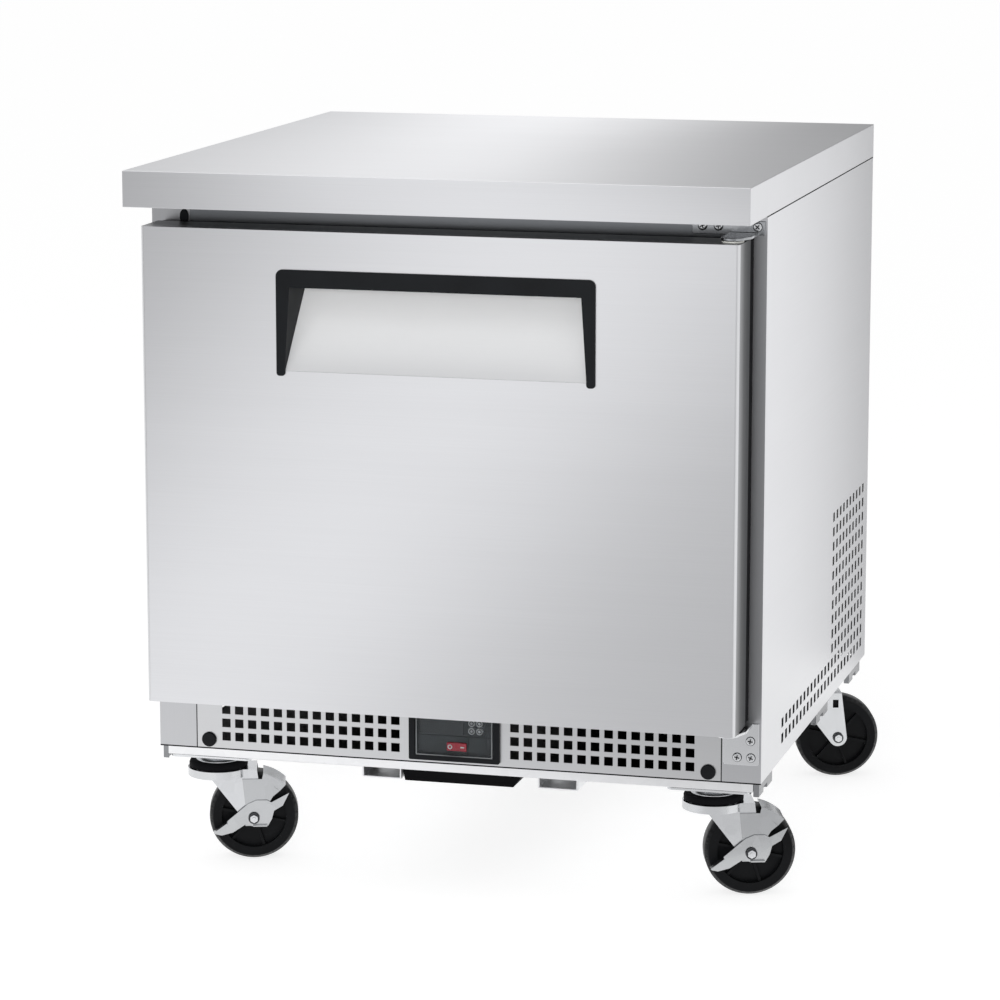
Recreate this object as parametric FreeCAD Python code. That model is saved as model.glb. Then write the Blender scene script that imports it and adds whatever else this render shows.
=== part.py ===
import FreeCAD, Part
import math
import os

# Undercounter refrigerator on four swivel casters. Millimetres, +Z up, front at -Y.
# The origin is on the floor under the middle of the cabinet.

# ---------------------------------------------------------------- driving dimensions
WIDTH = 698.5            # worktop and cabinet, side to side
TOP_DEPTH = 762.0        # worktop, front to back
HEIGHT = 802.0           # floor to worktop
TOP_THICK = 40.0         # worktop edge
CASTER_HEIGHT = 125.0    # floor to the underside of the base
BASE_RAIL = 10.0         # height of the floor pan's edge
BASE_INSET = 9.0         # floor pan inside the cabinet sides
SHEET = 1.2              # stainless sheet
FACE_SETBACK = 94.0      # worktop front to cabinet face
BACK_SETBACK = 2.0       # worktop back to cabinet back
POST_WIDTH = 44.5        # side panel's return that forms the door post
LINER = 1.0              # inner liner sheet
SIDE_FOAM = 47.05        # insulation in the side walls
TOP_FOAM = 62.0          # insulation over the storage space
FLOOR_FOAM = 38.0        # insulation under the storage space
REAR_FOAM = 47.8         # insulation behind the storage space
STEP_FOAM = 45.0         # insulation round the machine space
AIR_GAP_HEIGHT = 72.0    # air space between floor pan and insulated floor
MACHINE_HEIGHT = 235.0   # machine space above the floor pan
MACHINE_DEPTH = 257.8    # machine space in front of the cabinet back
DOOR_REVEAL = 14.25      # door edge inside the cabinet side
DOOR_THICK = 58.0
DOOR_TOP_GAP = 22.2      # worktop underside to door top
DOOR_LAP = 1.6           # door's lower edge below the insulated floor
DOOR_FRONT = 16.0        # door face behind the worktop edge
DOOR_ROUND = 4.0         # door's upright edges
HANDLE_WIDTH = 358.0
HANDLE_TOP = 42.3        # below the door's top edge
HANDLE_DROP = 117.0      # height of the handle moulding
HANDLE_POCKET = 42.0     # depth of the finger pocket
PIN_INSET = 13.0         # door pin inside the door's edge
PIN_BACK = 27.0          # door pin behind the door face
PIN_R = 5.0
CASTER_INSET = 59.25     # swivel axes inside the cabinet sides
CASTER_REAR = 91.0       # rear swivel axes in front of the cabinet back
TRAIL = 40.0             # wheel axle behind the swivel axis
TRAIL_ANGLE = 18.0       # resting direction of the forks
WHEEL_R = 50.8
WHEEL_WIDTH = 32.0
AXLE_R = 6.0
RUN = 0.05               # running clearance of a shaft in its hole
GAP = 0.3                # clearance between pieces that move past each other

# ---------------------------------------------------------------- derived places
HALF = WIDTH / 2
TOP_FRONT = -TOP_DEPTH / 2
FACE_Y = TOP_FRONT + FACE_SETBACK
BACK_Y = TOP_DEPTH / 2 - BACK_SETBACK
CABINET_TOP = HEIGHT - TOP_THICK
DECK_Z = CASTER_HEIGHT + BASE_RAIL
INNER_HALF = HALF - SHEET
POST_X = HALF - POST_WIDTH
FACE_BACK = FACE_Y + SHEET
FOAM_BACK = BACK_Y - SHEET
FLOOR_UNDER = DECK_Z + AIR_GAP_HEIGHT
CAVITY_HALF = INNER_HALF - SIDE_FOAM
CAVITY_FLOOR = FLOOR_UNDER + FLOOR_FOAM
CAVITY_ROOF = CABINET_TOP - TOP_FOAM
CAVITY_BACK = FOAM_BACK - REAR_FOAM
MACHINE_ROOF = DECK_Z + MACHINE_HEIGHT
MACHINE_FRONT = FOAM_BACK - MACHINE_DEPTH
STEP_TOP = MACHINE_ROOF + STEP_FOAM
STEP_FRONT = MACHINE_FRONT - STEP_FOAM
DOOR_HALF = HALF - DOOR_REVEAL
DOOR_Y = TOP_FRONT + DOOR_FRONT
DOOR_BACK = DOOR_Y + DOOR_THICK
DOOR_TOP = CABINET_TOP - DOOR_TOP_GAP
DOOR_BOTTOM = FLOOR_UNDER - DOOR_LAP
HANDLE_Z = DOOR_TOP - HANDLE_TOP
PIN_X = DOOR_HALF - PIN_INSET
PIN_Y = DOOR_Y + PIN_BACK

X = FreeCAD.Vector(1, 0, 0)
Y = FreeCAD.Vector(0, 1, 0)
Z = FreeCAD.Vector(0, 0, 1)
ORIGIN = FreeCAD.Vector(0, 0, 0)
AXES = {"x": X, "y": Y, "z": Z}


# ---------------------------------------------------------------- shared shapes
def box(x, y, z):
    """Block between the two values given along each axis."""
    low = FreeCAD.Vector(min(x), min(y), min(z))
    return Part.makeBox(abs(x[1] - x[0]), abs(y[1] - y[0]), abs(z[1] - z[0]), low)


def rod(radius, start, length, direction=Z):
    return Part.makeCylinder(radius, length, FreeCAD.Vector(*start), direction)


def tube(outer, inner, start, length, direction=Z):
    return rod(outer, start, length, direction).cut(rod(inner, start, length, direction))


def place(points, axis, level):
    """Flat points lifted into space, on the plane across the axis at that level."""
    if axis == "x":
        return [FreeCAD.Vector(level, a, b) for a, b in points]
    if axis == "y":
        return [FreeCAD.Vector(a, level, b) for a, b in points]
    return [FreeCAD.Vector(a, b, level) for a, b in points]


def loop(points, axis, level):
    corners = place(points, axis, level)
    return Part.makePolygon(corners + corners[:1])


def plate(outline, axis, low, high, holes=()):
    """Flat outline with its holes, pushed along the axis from low to high."""
    wires = [loop(points, axis, low) for points in (outline, *holes)]
    face = Part.makeFace(wires, "Part::FaceMakerBullseye")
    return face.extrude(AXES[axis] * (high - low))


def rectangle(a, b):
    return [(a[0], b[0]), (a[1], b[0]), (a[1], b[1]), (a[0], b[1])]


def slot_field(first, pitch, size, columns, rows):
    """Rectangular openings on a grid, each placed by its lower corner."""
    fields = []
    for column in range(columns):
        for row in range(rows):
            a = first[0] + column * pitch[0]
            b = first[1] + row * pitch[1]
            fields.append(rectangle((a, a + size[0]), (b, b + size[1])))
    return fields


def round_edges(solid, radius, chosen):
    return solid.makeFillet(radius, [edge for edge in solid.Edges if chosen(edge)])


def runs_along(edge, direction):
    if edge.Curve.TypeId != "Part::GeomLine":
        return False
    return edge.tangentAt(edge.FirstParameter).cross(direction).Length < 1e-6


def revolve(profile, axis, centre=ORIGIN):
    """Half section of (radius, height) points turned round the axis through the centre."""
    points = [FreeCAD.Vector(r, 0, h) for r, h in profile]
    face = Part.Face(Part.makePolygon(points + points[:1]))
    solid = face.revolve(ORIGIN, Z, 360)
    if axis == "y":
        solid.rotate(ORIGIN, X, -90)
    if axis == "x":
        solid.rotate(ORIGIN, Y, 90)
    solid.translate(centre)
    return solid


def hexagon(width, start, length, direction):
    """Hexagonal bar of the given width across its flats."""
    corner = width / math.sqrt(3)
    turns = [math.radians(60 * i) for i in range(6)]
    outline = loop([(corner * math.cos(turn), corner * math.sin(turn)) for turn in turns], "z", 0)
    bar = Part.Face(outline).extrude(Z * length)
    bar.Placement = FreeCAD.Placement(FreeCAD.Vector(*start), FreeCAD.Rotation(Z, direction))
    return bar


def mirrored(solid):
    return solid.mirror(ORIGIN, X)


def group(solids):
    return Part.makeCompound(solids)


def bent_tube(points, radius, bend):
    """Round bar along straight runs joined by arcs of the bend radius."""
    route = [FreeCAD.Vector(*point) for point in points]
    edges = []
    start = route[0]
    for before, corner, after in zip(route, route[1:], route[2:]):
        back = (before - corner).normalize()
        ahead = (after - corner).normalize()
        half_turn = back.getAngle(ahead) / 2
        reach = bend / math.tan(half_turn)
        enter = corner + back * reach
        leave = corner + ahead * reach
        inward = (back + ahead).normalize()
        middle = corner + inward * (bend / math.sin(half_turn) - bend)
        edges.append(Part.LineSegment(start, enter).toShape())
        edges.append(Part.Arc(enter, middle, leave).toShape())
        start = leave
    edges.append(Part.LineSegment(start, route[-1]).toShape())
    path = Part.Wire(edges)
    circle = Part.Wire(Part.makeCircle(radius, route[0], route[1] - route[0]))
    return path.makePipeShell([circle], True, False)


def domed_cap(centre, radius, height):
    """Low cap with a sloping rim, standing on the front of the cabinet."""
    x, y, z = centre
    profile = [(0, 0), (radius, 0), (radius, -0.4 * height), (0.7 * radius, -height), (0, -height)]
    return revolve(profile, "y", FreeCAD.Vector(x, y, z))


# ---------------------------------------------------------------- worktop
RETURN_LIP = 20.0        # lip folded in under the worktop edge


def worktop():
    """Folded sheet box, open underneath inside its lip."""
    outer = box((-HALF, HALF), (TOP_FRONT, -TOP_FRONT), (CABINET_TOP, HEIGHT))
    hollow = box((-INNER_HALF, INNER_HALF), (TOP_FRONT + SHEET, -TOP_FRONT - SHEET),
                 (CABINET_TOP + SHEET, HEIGHT - SHEET))
    lip = RETURN_LIP
    window = box((-HALF + lip, HALF - lip), (TOP_FRONT + lip, -TOP_FRONT - lip),
                 (CABINET_TOP, CABINET_TOP + SHEET))
    return outer.cut(hollow).cut(window)


def worktop_core():
    """Board that fills the folded worktop and rests on the cabinet."""
    board = box((-INNER_HALF, INNER_HALF), (TOP_FRONT + SHEET, -TOP_FRONT - SHEET),
                (CABINET_TOP + SHEET, HEIGHT - SHEET))
    lip = RETURN_LIP
    rest = box((-HALF + lip, HALF - lip), (TOP_FRONT + lip, -TOP_FRONT - lip),
               (CABINET_TOP, CABINET_TOP + SHEET))
    return board.fuse(rest).removeSplitter()


# ---------------------------------------------------------------- cabinet shell
SLOT_Y = 12.4            # side slot, front to back
SLOT_Z = 10.8            # side slot height
SLOT_PITCH_Y = 22.2
SLOT_PITCH_Z = 17.8
TALL_ROWS = 12
TALL_COLUMNS = 10
LOW_ROWS = 2
LOW_COLUMNS = 14
FIELD_EDGE = 26.0        # tall field to the cabinet back
FIELD_FOOT = 18.0        # lowest slots above the floor pan
BACK_RETURN = 15.0       # fold at the back edge


def side_slots():
    rear_end = BACK_Y - FIELD_EDGE
    foot = DECK_Z + FIELD_FOOT
    pitch = (SLOT_PITCH_Y, SLOT_PITCH_Z)
    size = (SLOT_Y, SLOT_Z)
    tall_start = rear_end - SLOT_Y - (TALL_COLUMNS - 1) * SLOT_PITCH_Y
    low_start = tall_start - LOW_COLUMNS * SLOT_PITCH_Y
    tall = slot_field((tall_start, foot), pitch, size, TALL_COLUMNS, TALL_ROWS)
    return tall + slot_field((low_start, foot), pitch, size, LOW_COLUMNS, LOW_ROWS)


def side_panel():
    """Right panel: vented side, front fold as door post, narrow back fold."""
    outline = rectangle((FACE_Y, BACK_Y), (DECK_Z, CABINET_TOP))
    side = plate(outline, "x", INNER_HALF, HALF, side_slots())
    height = (DECK_Z, CABINET_TOP)
    post = box((POST_X, INNER_HALF), (FACE_Y, FACE_BACK), height)
    fold = box((HALF - BACK_RETURN, INNER_HALF), (FOAM_BACK, BACK_Y), height)
    return side.fuse([post, fold]).removeSplitter()


BREAKER_LAP = 3.75       # breaker strip over the face of the insulation
BREAKER_LEG = 25.0       # breaker strip into the opening
BREAKER_WALL = 2.5


def face_frame():
    """Sheet rails above and below the opening, between the posts."""
    face = (FACE_Y, FACE_BACK)
    across = (-POST_X, POST_X)
    top = box(across, face, (CAVITY_ROOF + BREAKER_LAP, CABINET_TOP))
    bottom = box(across, face, (FLOOR_UNDER, CAVITY_FLOOR - BREAKER_LAP))
    return group([top, bottom])


def breaker_strip():
    """Plastic strip round the opening: a flange in the face and a leg over the liner."""
    inner = (-CAVITY_HALF + LINER + BREAKER_WALL, CAVITY_HALF - LINER - BREAKER_WALL)
    height = (CAVITY_FLOOR + LINER + BREAKER_WALL, CAVITY_ROOF - LINER - BREAKER_WALL)
    flange_outline = rectangle((-POST_X, POST_X),
                               (CAVITY_FLOOR - BREAKER_LAP, CAVITY_ROOF + BREAKER_LAP))
    leg_outline = rectangle((-CAVITY_HALF + LINER, CAVITY_HALF - LINER),
                            (CAVITY_FLOOR + LINER, CAVITY_ROOF - LINER))
    hole = rectangle(inner, height)
    flange = plate(flange_outline, "y", FACE_Y, FACE_BACK, [hole])
    leg = plate(leg_outline, "y", FACE_BACK, FACE_BACK + BREAKER_LEG, [hole])
    return flange.fuse(leg).removeSplitter()


def cavity_profile(wall):
    """Side view of the storage space, shrunk by the wall on all but the open front."""
    return [(FACE_BACK, CAVITY_FLOOR + wall), (STEP_FRONT - wall, CAVITY_FLOOR + wall),
            (STEP_FRONT - wall, STEP_TOP + wall), (CAVITY_BACK - wall, STEP_TOP + wall),
            (CAVITY_BACK - wall, CAVITY_ROOF - wall), (FACE_BACK, CAVITY_ROOF - wall)]


def insulation():
    """Foam block with the storage space and the machine space left open."""
    block = box((-INNER_HALF, INNER_HALF), (FACE_BACK, FOAM_BACK), (FLOOR_UNDER, CABINET_TOP))
    machine = box((-INNER_HALF, INNER_HALF), (MACHINE_FRONT, FOAM_BACK),
                  (FLOOR_UNDER, MACHINE_ROOF))
    storage = plate(cavity_profile(0), "x", -CAVITY_HALF, CAVITY_HALF)
    return block.cut([machine, storage])


def inner_liner():
    shell = plate(cavity_profile(0), "x", -CAVITY_HALF, CAVITY_HALF)
    inside = plate(cavity_profile(LINER), "x", -CAVITY_HALF + LINER, CAVITY_HALF - LINER)
    return shell.cut(inside)


PANEL_EDGE = 9.0         # back panels inside the cabinet sides
REAR_SLOT = (60.0, 6.0)
REAR_PITCH = (76.0, 16.0)
GLAND_X = 49.25 - HALF
GLAND_Z = 45.0           # cord gland above the floor pan
GLAND_R = 8.0


def back_panel():
    edge = HALF - PANEL_EDGE
    return box((-edge, edge), (BACK_Y, BACK_Y + SHEET), (MACHINE_ROOF, CABINET_TOP))


def rear_grille():
    """Removable lower back cover with rows of slots and the cord hole."""
    edge = HALF - PANEL_EDGE
    columns = 7
    rows = 11
    start = -((columns - 1) * REAR_PITCH[0] + REAR_SLOT[0]) / 2
    slots = slot_field((start, DECK_Z + 30), REAR_PITCH, REAR_SLOT, columns, rows)
    outline = rectangle((-edge, edge), (DECK_Z, MACHINE_ROOF))
    cover = plate(outline, "y", BACK_Y, BACK_Y + SHEET, slots)
    hole = rod(GLAND_R, (GLAND_X, BACK_Y, DECK_Z + GLAND_Z), SHEET, Y)
    return cover.cut(hole)


def cord_gland():
    """Rubber grommet seated in the rear cover; its bore takes the supply cord."""
    bore = 4.5
    lip = GLAND_R + 2.5
    inside = 4.0
    outside = SHEET + 0.8
    profile = [(bore, -inside), (lip, -inside), (lip, 0), (GLAND_R, 0), (GLAND_R, SHEET),
               (lip, SHEET), (lip, outside), (bore, outside)]
    return revolve(profile, "y", FreeCAD.Vector(GLAND_X, BACK_Y, DECK_Z + GLAND_Z))


# ---------------------------------------------------------------- front grille and controller
SQUARE = 10.0            # grille opening
SQUARE_PITCH = (15.4, 15.6)
GRILLE_COLUMNS = 14
GRILLE_ROWS = 3
GRILLE_LOW = 10.0        # lowest openings above the floor pan
GRILLE_END = 30.3        # plain end of the grille beside the post
GRILLE_FOLD = 10.0
CAP_R = 8.5
CAP_X = POST_X - 14.75
CAP_Z = 10.5
SPARE_X = 11.0 - PIN_X   # plug in the spare hinge hole
SPARE_DROP = 19.0
SPARE_R = 6.3
PANEL_X = 52.6           # controller frame, half width
PANEL_LOW = 3.7          # controller frame above the floor pan
PANEL_TALL = 64.0
BODY_INSET = 3.0         # controller body inside its frame
BODY_DEPTH = 42.0
FRAME_PROUD = 4.0
FRAME_WALL = 7.0
FACE_SUNK = 7.0          # controller face behind the frame's front
FACE_SHEET = 2.0
RECESS_FOOT = 5.5        # recess above the frame's lower edge
RECESS_HEAD = 3.5        # and below its upper edge
RECESS_EXTRA = 16.0      # depth of the wells behind the face


def front_grille():
    """Folded panel with square openings either side of the controller."""
    block = (GRILLE_COLUMNS - 1) * SQUARE_PITCH[0] + SQUARE
    foot = DECK_Z + GRILLE_LOW
    holes = []
    for start in (-POST_X + GRILLE_END, POST_X - GRILLE_END - block):
        holes += slot_field((start, foot), SQUARE_PITCH, (SQUARE, SQUARE),
                            GRILLE_COLUMNS, GRILLE_ROWS)
    body_half = PANEL_X - BODY_INSET
    low = DECK_Z + PANEL_LOW
    holes.append(rectangle((-body_half, body_half),
                           (low + BODY_INSET, low + PANEL_TALL - BODY_INSET)))
    outline = rectangle((-POST_X, POST_X), (DECK_Z, FLOOR_UNDER))
    panel = plate(outline, "y", FACE_Y, FACE_BACK, holes)
    folds = [box((-POST_X, POST_X), (FACE_BACK, FACE_BACK + GRILLE_FOLD), level)
             for level in ((DECK_Z, DECK_Z + SHEET), (FLOOR_UNDER - SHEET, FLOOR_UNDER))]
    return panel.fuse(folds).removeSplitter()


def black_plugs():
    """Two domed caps over the grille screws and the plug in the spare hinge hole."""
    caps = [domed_cap((x, FACE_Y, DECK_Z + CAP_Z), CAP_R, 3.0) for x in (-CAP_X, CAP_X)]
    caps.append(domed_cap((SPARE_X, FACE_Y, CABINET_TOP - SPARE_DROP), SPARE_R, 2.0))
    return group(caps)


FRAME_LOW = DECK_Z + PANEL_LOW
FRAME_HIGH = FRAME_LOW + PANEL_TALL
FRAME_Y = FACE_Y - FRAME_PROUD
SET_FACE_Y = FRAME_Y + FACE_SUNK
ROCKER_X = 2.0
ROCKER_Z = FRAME_LOW + 16.0
ROCKER_HALF = 11.4
ROCKER_TALL = 4.8        # half height
BUTTON_R = 4.0
BUTTON_PROUD = 1.6
BUTTON_X = (19.2, 28.3)
BUTTON_Z = (FRAME_LOW + 35.0, FRAME_LOW + 44.1)
COVER_THICK = 1.5
HINGE_ROD_R = 1.5
BARREL_R = 2.0
HINGE_Y = FRAME_Y + 2.6  # cover's pivots behind the frame's front
HINGE_Z = FRAME_HIGH - FRAME_WALL + 1.0
HINGE_END = 3.0          # pivot ends inside the frame's ends


def panel_openings(front, back):
    """Openings for the rocker and the buttons, shared by the face and the body behind it."""
    room = GAP
    rocker = box((ROCKER_X - ROCKER_HALF - room, ROCKER_X + ROCKER_HALF + room), (front, back),
                 (ROCKER_Z - ROCKER_TALL - room, ROCKER_Z + ROCKER_TALL + room))
    buttons = [rod(BUTTON_R + room, (x, front, z), back - front, Y)
               for x in BUTTON_X for z in BUTTON_Z]
    return [rocker, *buttons]


def controller_housing():
    """Black moulding: raised frame, recess for the face and a body behind the grille."""
    frame = box((-PANEL_X, PANEL_X), (FRAME_Y, FACE_Y), (FRAME_LOW, FRAME_HIGH))
    frame = round_edges(frame, 2.0, lambda edge: runs_along(edge, Y))
    inset = BODY_INSET
    body = box((-PANEL_X + inset, PANEL_X - inset), (FACE_Y, FACE_Y + BODY_DEPTH),
               (FRAME_LOW + inset, FRAME_HIGH - inset))
    wall = FRAME_WALL
    recess = box((-PANEL_X + wall, PANEL_X - wall), (FRAME_Y, SET_FACE_Y + FACE_SHEET),
                 (FRAME_LOW + RECESS_FOOT, FRAME_HIGH - RECESS_HEAD))
    wells = panel_openings(SET_FACE_Y + FACE_SHEET, SET_FACE_Y + FACE_SHEET + RECESS_EXTRA)
    rod_seat = rod(HINGE_ROD_R + RUN, (-PANEL_X + HINGE_END, HINGE_Y, HINGE_Z),
                   2 * (PANEL_X - HINGE_END), X)
    return frame.fuse(body).cut([recess, rod_seat, *wells])


def controller_face():
    wall = FRAME_WALL
    face = box((-PANEL_X + wall, PANEL_X - wall), (SET_FACE_Y, SET_FACE_Y + FACE_SHEET),
               (FRAME_LOW + RECESS_FOOT, FRAME_HIGH - RECESS_HEAD))
    return face.cut(panel_openings(SET_FACE_Y, SET_FACE_Y + FACE_SHEET))


def controller_cover():
    """Clear flap on two stub pivots near its upper edge."""
    wall = FRAME_WALL + GAP
    low = FRAME_LOW + RECESS_FOOT + GAP
    front = FRAME_Y + 0.6
    flap = box((-PANEL_X + wall, PANEL_X - wall), (front, front + COVER_THICK),
               (low, HINGE_Z))
    barrel = rod(BARREL_R, (-PANEL_X + wall, HINGE_Y, HINGE_Z), 2 * (PANEL_X - wall), X)
    pivot_half = PANEL_X - HINGE_END - GAP
    pivot = rod(HINGE_ROD_R, (-pivot_half, HINGE_Y, HINGE_Z), 2 * pivot_half, X)
    lift = box((-6.0, 6.0), (front - 0.5, front), (low, low + 2.0))
    return flap.fuse([barrel, pivot, lift]).removeSplitter()


def power_rocker():
    """Rocker with a shallow V face and a tapered back."""
    tip = SET_FACE_Y - 2.6
    dip = SET_FACE_Y - 1.4
    back = SET_FACE_Y + 4.0
    outline = [(ROCKER_X - ROCKER_HALF, tip), (ROCKER_X, dip), (ROCKER_X + ROCKER_HALF, tip),
               (ROCKER_X + ROCKER_HALF, SET_FACE_Y), (ROCKER_X + 5.0, back),
               (ROCKER_X - 5.0, back), (ROCKER_X - ROCKER_HALF, SET_FACE_Y)]
    return plate(outline, "z", ROCKER_Z - ROCKER_TALL, ROCKER_Z + ROCKER_TALL)


def set_button(x, z):
    """Round push cap with a chamfered rim."""
    profile = [(0, -BUTTON_PROUD), (BUTTON_R - 0.6, -BUTTON_PROUD), (BUTTON_R, 0.6 - BUTTON_PROUD),
               (BUTTON_R, 10), (0, 10)]
    return revolve(profile, "y", FreeCAD.Vector(x, SET_FACE_Y, z))


# ---------------------------------------------------------------- base
BASE_X = HALF - BASE_INSET
BASE_FRONT = FACE_Y + 1.0
BASE_BACK = BACK_Y - 7.0
PLATE_X = 47.5           # caster plate, half width
PLATE_Y = 30.0           # caster plate, half depth
CASTER_X = HALF - CASTER_INSET
CASTER_FRONT_Y = BASE_FRONT + PLATE_Y
CASTER_REAR_Y = BACK_Y - CASTER_REAR
CHANNEL_SHEET = 2.0
RUNNER_X = (-87.0, 118.0)
RUNNER_WIDTH = 46.0
RUNNER_DROP = 13.0


def base_pan():
    """Floor pan with its edge folded down all round."""
    outer = box((-BASE_X, BASE_X), (BASE_FRONT, BASE_BACK), (CASTER_HEIGHT, DECK_Z))
    inner = box((-BASE_X + SHEET, BASE_X - SHEET), (BASE_FRONT + SHEET, BASE_BACK - SHEET),
                (CASTER_HEIGHT, DECK_Z - SHEET))
    return outer.cut(inner)


def channel(x, y, z, along):
    """Open-topped channel whose two legs reach up to the sheet above it."""
    outer = box(x, y, z)
    wall = CHANNEL_SHEET
    if along == "x":
        inner = box(x, (y[0] + wall, y[1] - wall), (z[0] + wall, z[1]))
    else:
        inner = box((x[0] + wall, x[1] - wall), y, (z[0] + wall, z[1]))
    return outer.cut(inner)


def base_channels():
    """Two cross channels that carry the casters, and two runners under them."""
    pieces = []
    span = (-BASE_X + SHEET, BASE_X - SHEET)
    front_end = BASE_FRONT + SHEET
    rear_end = CASTER_REAR_Y + PLATE_Y
    under = (CASTER_HEIGHT, DECK_Z - SHEET)
    pieces.append(channel(span, (front_end, CASTER_FRONT_Y + PLATE_Y), under, "x"))
    pieces.append(channel(span, (rear_end - 2 * PLATE_Y, rear_end), under, "x"))
    for x in RUNNER_X:
        across = (x - RUNNER_WIDTH / 2, x + RUNNER_WIDTH / 2)
        pieces.append(channel(across, (BASE_FRONT + 4, rear_end),
                              (CASTER_HEIGHT - RUNNER_DROP, CASTER_HEIGHT), "y"))
    return group(pieces)


def underside_pan():
    """Black moulded pan between the runners, with sloping ends."""
    left = RUNNER_X[0] + RUNNER_WIDTH / 2 + 1.0
    right = RUNNER_X[1] - RUNNER_WIDTH / 2 - 18.0
    low = CASTER_HEIGHT - RUNNER_DROP - 1.0
    outline = [(left, CASTER_HEIGHT), (left + 3.0, low), (right - 11.0, low),
               (right, CASTER_HEIGHT)]
    pan = plate(outline, "y", BASE_FRONT + 6, CASTER_REAR_Y - PLATE_Y)
    return pan


# ---------------------------------------------------------------- casters
CROWN_TOP = 107.0        # top of the fork above the floor
CROWN_R = 35.0
CROWN_SKIRT = 9.0
FORK_SHEET = 2.5
KINGPIN_R = 6.0
KINGPIN_HEAD = 9.5
CUP_R = 26.0
SEAL_R = 33.5
SEAL_TOP = 116.5
LEG_GAP = 18.5           # fork leg's inner face from the wheel's middle plane
HUB_HALF = LEG_GAP - GAP
BOSS_R = 11.0
HUB_R = 11.0
RIM_R = WHEEL_R - 13.8       # inner edge of the tread ring
WEB_HALF = 7.0
PLATE_SHEET = 3.0


def caster_centres():
    return {"front_left": (-CASTER_X, CASTER_FRONT_Y, TRAIL_ANGLE),
            "front_right": (CASTER_X, CASTER_FRONT_Y, TRAIL_ANGLE),
            "rear_left": (-CASTER_X, CASTER_REAR_Y, 180 - TRAIL_ANGLE),
            "rear_right": (CASTER_X, CASTER_REAR_Y, TRAIL_ANGLE)}


def set_on_caster(solid, corner):
    """Shape drawn round the swivel axis with the wheel trailing to +X, moved to its corner."""
    x, y, turn = caster_centres()[corner]
    moved = solid.copy()
    moved.rotate(ORIGIN, Z, turn)
    moved.translate(FreeCAD.Vector(x, y, 0))
    return moved


def caster_top():
    """Mounting plate with its pressed bearing cup and the kingpin that holds the fork."""
    top = box((-PLATE_X, PLATE_X), (-PLATE_Y, PLATE_Y), (CASTER_HEIGHT - PLATE_SHEET, CASTER_HEIGHT))
    top = round_edges(top, 6.0, lambda edge: runs_along(edge, Z))
    floor = CROWN_TOP + GAP
    cup = revolve([(0, floor), (18, floor), (CUP_R, floor + 4), (CUP_R, SEAL_TOP),
                   (20, CASTER_HEIGHT - PLATE_SHEET), (0, CASTER_HEIGHT - PLATE_SHEET)], "z")
    head_top = CROWN_TOP - FORK_SHEET - GAP
    pin = rod(KINGPIN_R, (0, 0, head_top), floor - head_top)
    head = rod(KINGPIN_HEAD, (0, 0, head_top - 5), 5)
    return top.fuse([cup, pin, head]).removeSplitter()


def caster_plates():
    tops = []
    for x, y, turn in caster_centres().values():
        top = caster_top()
        top.translate(FreeCAD.Vector(x, y, 0))
        tops.append(top)
    return group(tops)


def caster_seals():
    """Black ring round each bearing cup, just clear of the fork."""
    low = CROWN_TOP + GAP
    profile = [(CUP_R, low + 4), (SEAL_R, low), (SEAL_R, SEAL_TOP - 3), (SEAL_R - 3, SEAL_TOP),
               (CUP_R, SEAL_TOP)]
    rings = []
    for x, y, turn in caster_centres().values():
        rings.append(revolve(profile, "z", FreeCAD.Vector(x, y, 0)))
    return group(rings)


def leg_profile():
    """Fork leg in side view: wide under the crown, tapering to the axle boss."""
    points = place([(TRAIL - 50, CROWN_TOP - CROWN_SKIRT), (TRAIL - 34, CROWN_TOP - 1),
                    (TRAIL + 4, CROWN_TOP - 1)], "y", 0)
    lean = math.radians(36)
    left = FreeCAD.Vector(TRAIL - BOSS_R * math.cos(lean), 0, WHEEL_R - BOSS_R * math.sin(lean))
    low = FreeCAD.Vector(TRAIL, 0, WHEEL_R - BOSS_R)
    right = FreeCAD.Vector(TRAIL + BOSS_R, 0, WHEEL_R)
    edges = [Part.makePolygon([left, *points, right]).Edges,
             [Part.Arc(right, low, left).toShape()]]
    return Part.Face(Part.Wire([edge for part in edges for edge in part]))


def fork_yoke(braked):
    """Pressed crown and two legs; the unbraked fork has a square window in each leg."""
    skirt_low = CROWN_TOP - CROWN_SKIRT
    half = LEG_GAP + FORK_SHEET
    crown = rod(CROWN_R, (0, 0, skirt_low), CROWN_SKIRT)
    crown = crown.fuse(box((0, TRAIL + 4), (-half, half), (skirt_low, CROWN_TOP))).removeSplitter()
    hollow = rod(CROWN_R - FORK_SHEET, (0, 0, skirt_low), CROWN_SKIRT - FORK_SHEET)
    hollow = hollow.fuse(box((0, TRAIL + 4), (-LEG_GAP, LEG_GAP),
                             (skirt_low, CROWN_TOP - FORK_SHEET)))
    yoke = crown.cut(hollow)
    legs = []
    for side in (-half, LEG_GAP):
        leg = leg_profile().extrude(Y * FORK_SHEET)
        leg.translate(FreeCAD.Vector(0, side, 0))
        legs.append(leg)
    yoke = yoke.fuse(legs).removeSplitter()
    cuts = [rod(KINGPIN_R + RUN, (0, 0, skirt_low), CROWN_SKIRT),
            rod(AXLE_R - 1, (TRAIL, -half, WHEEL_R), 2 * half, Y)]
    if not braked:
        cuts.append(box((TRAIL - 7, TRAIL), (-half, half), (WHEEL_R + 38, WHEEL_R + 48)))
    return yoke.cut(cuts)


SHOE_SHEET = 1.5
LEVER_SHEET = 1.8
NUT_WIDTH = 13.0
AXLE_HEAD_R = 5.5


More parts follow.
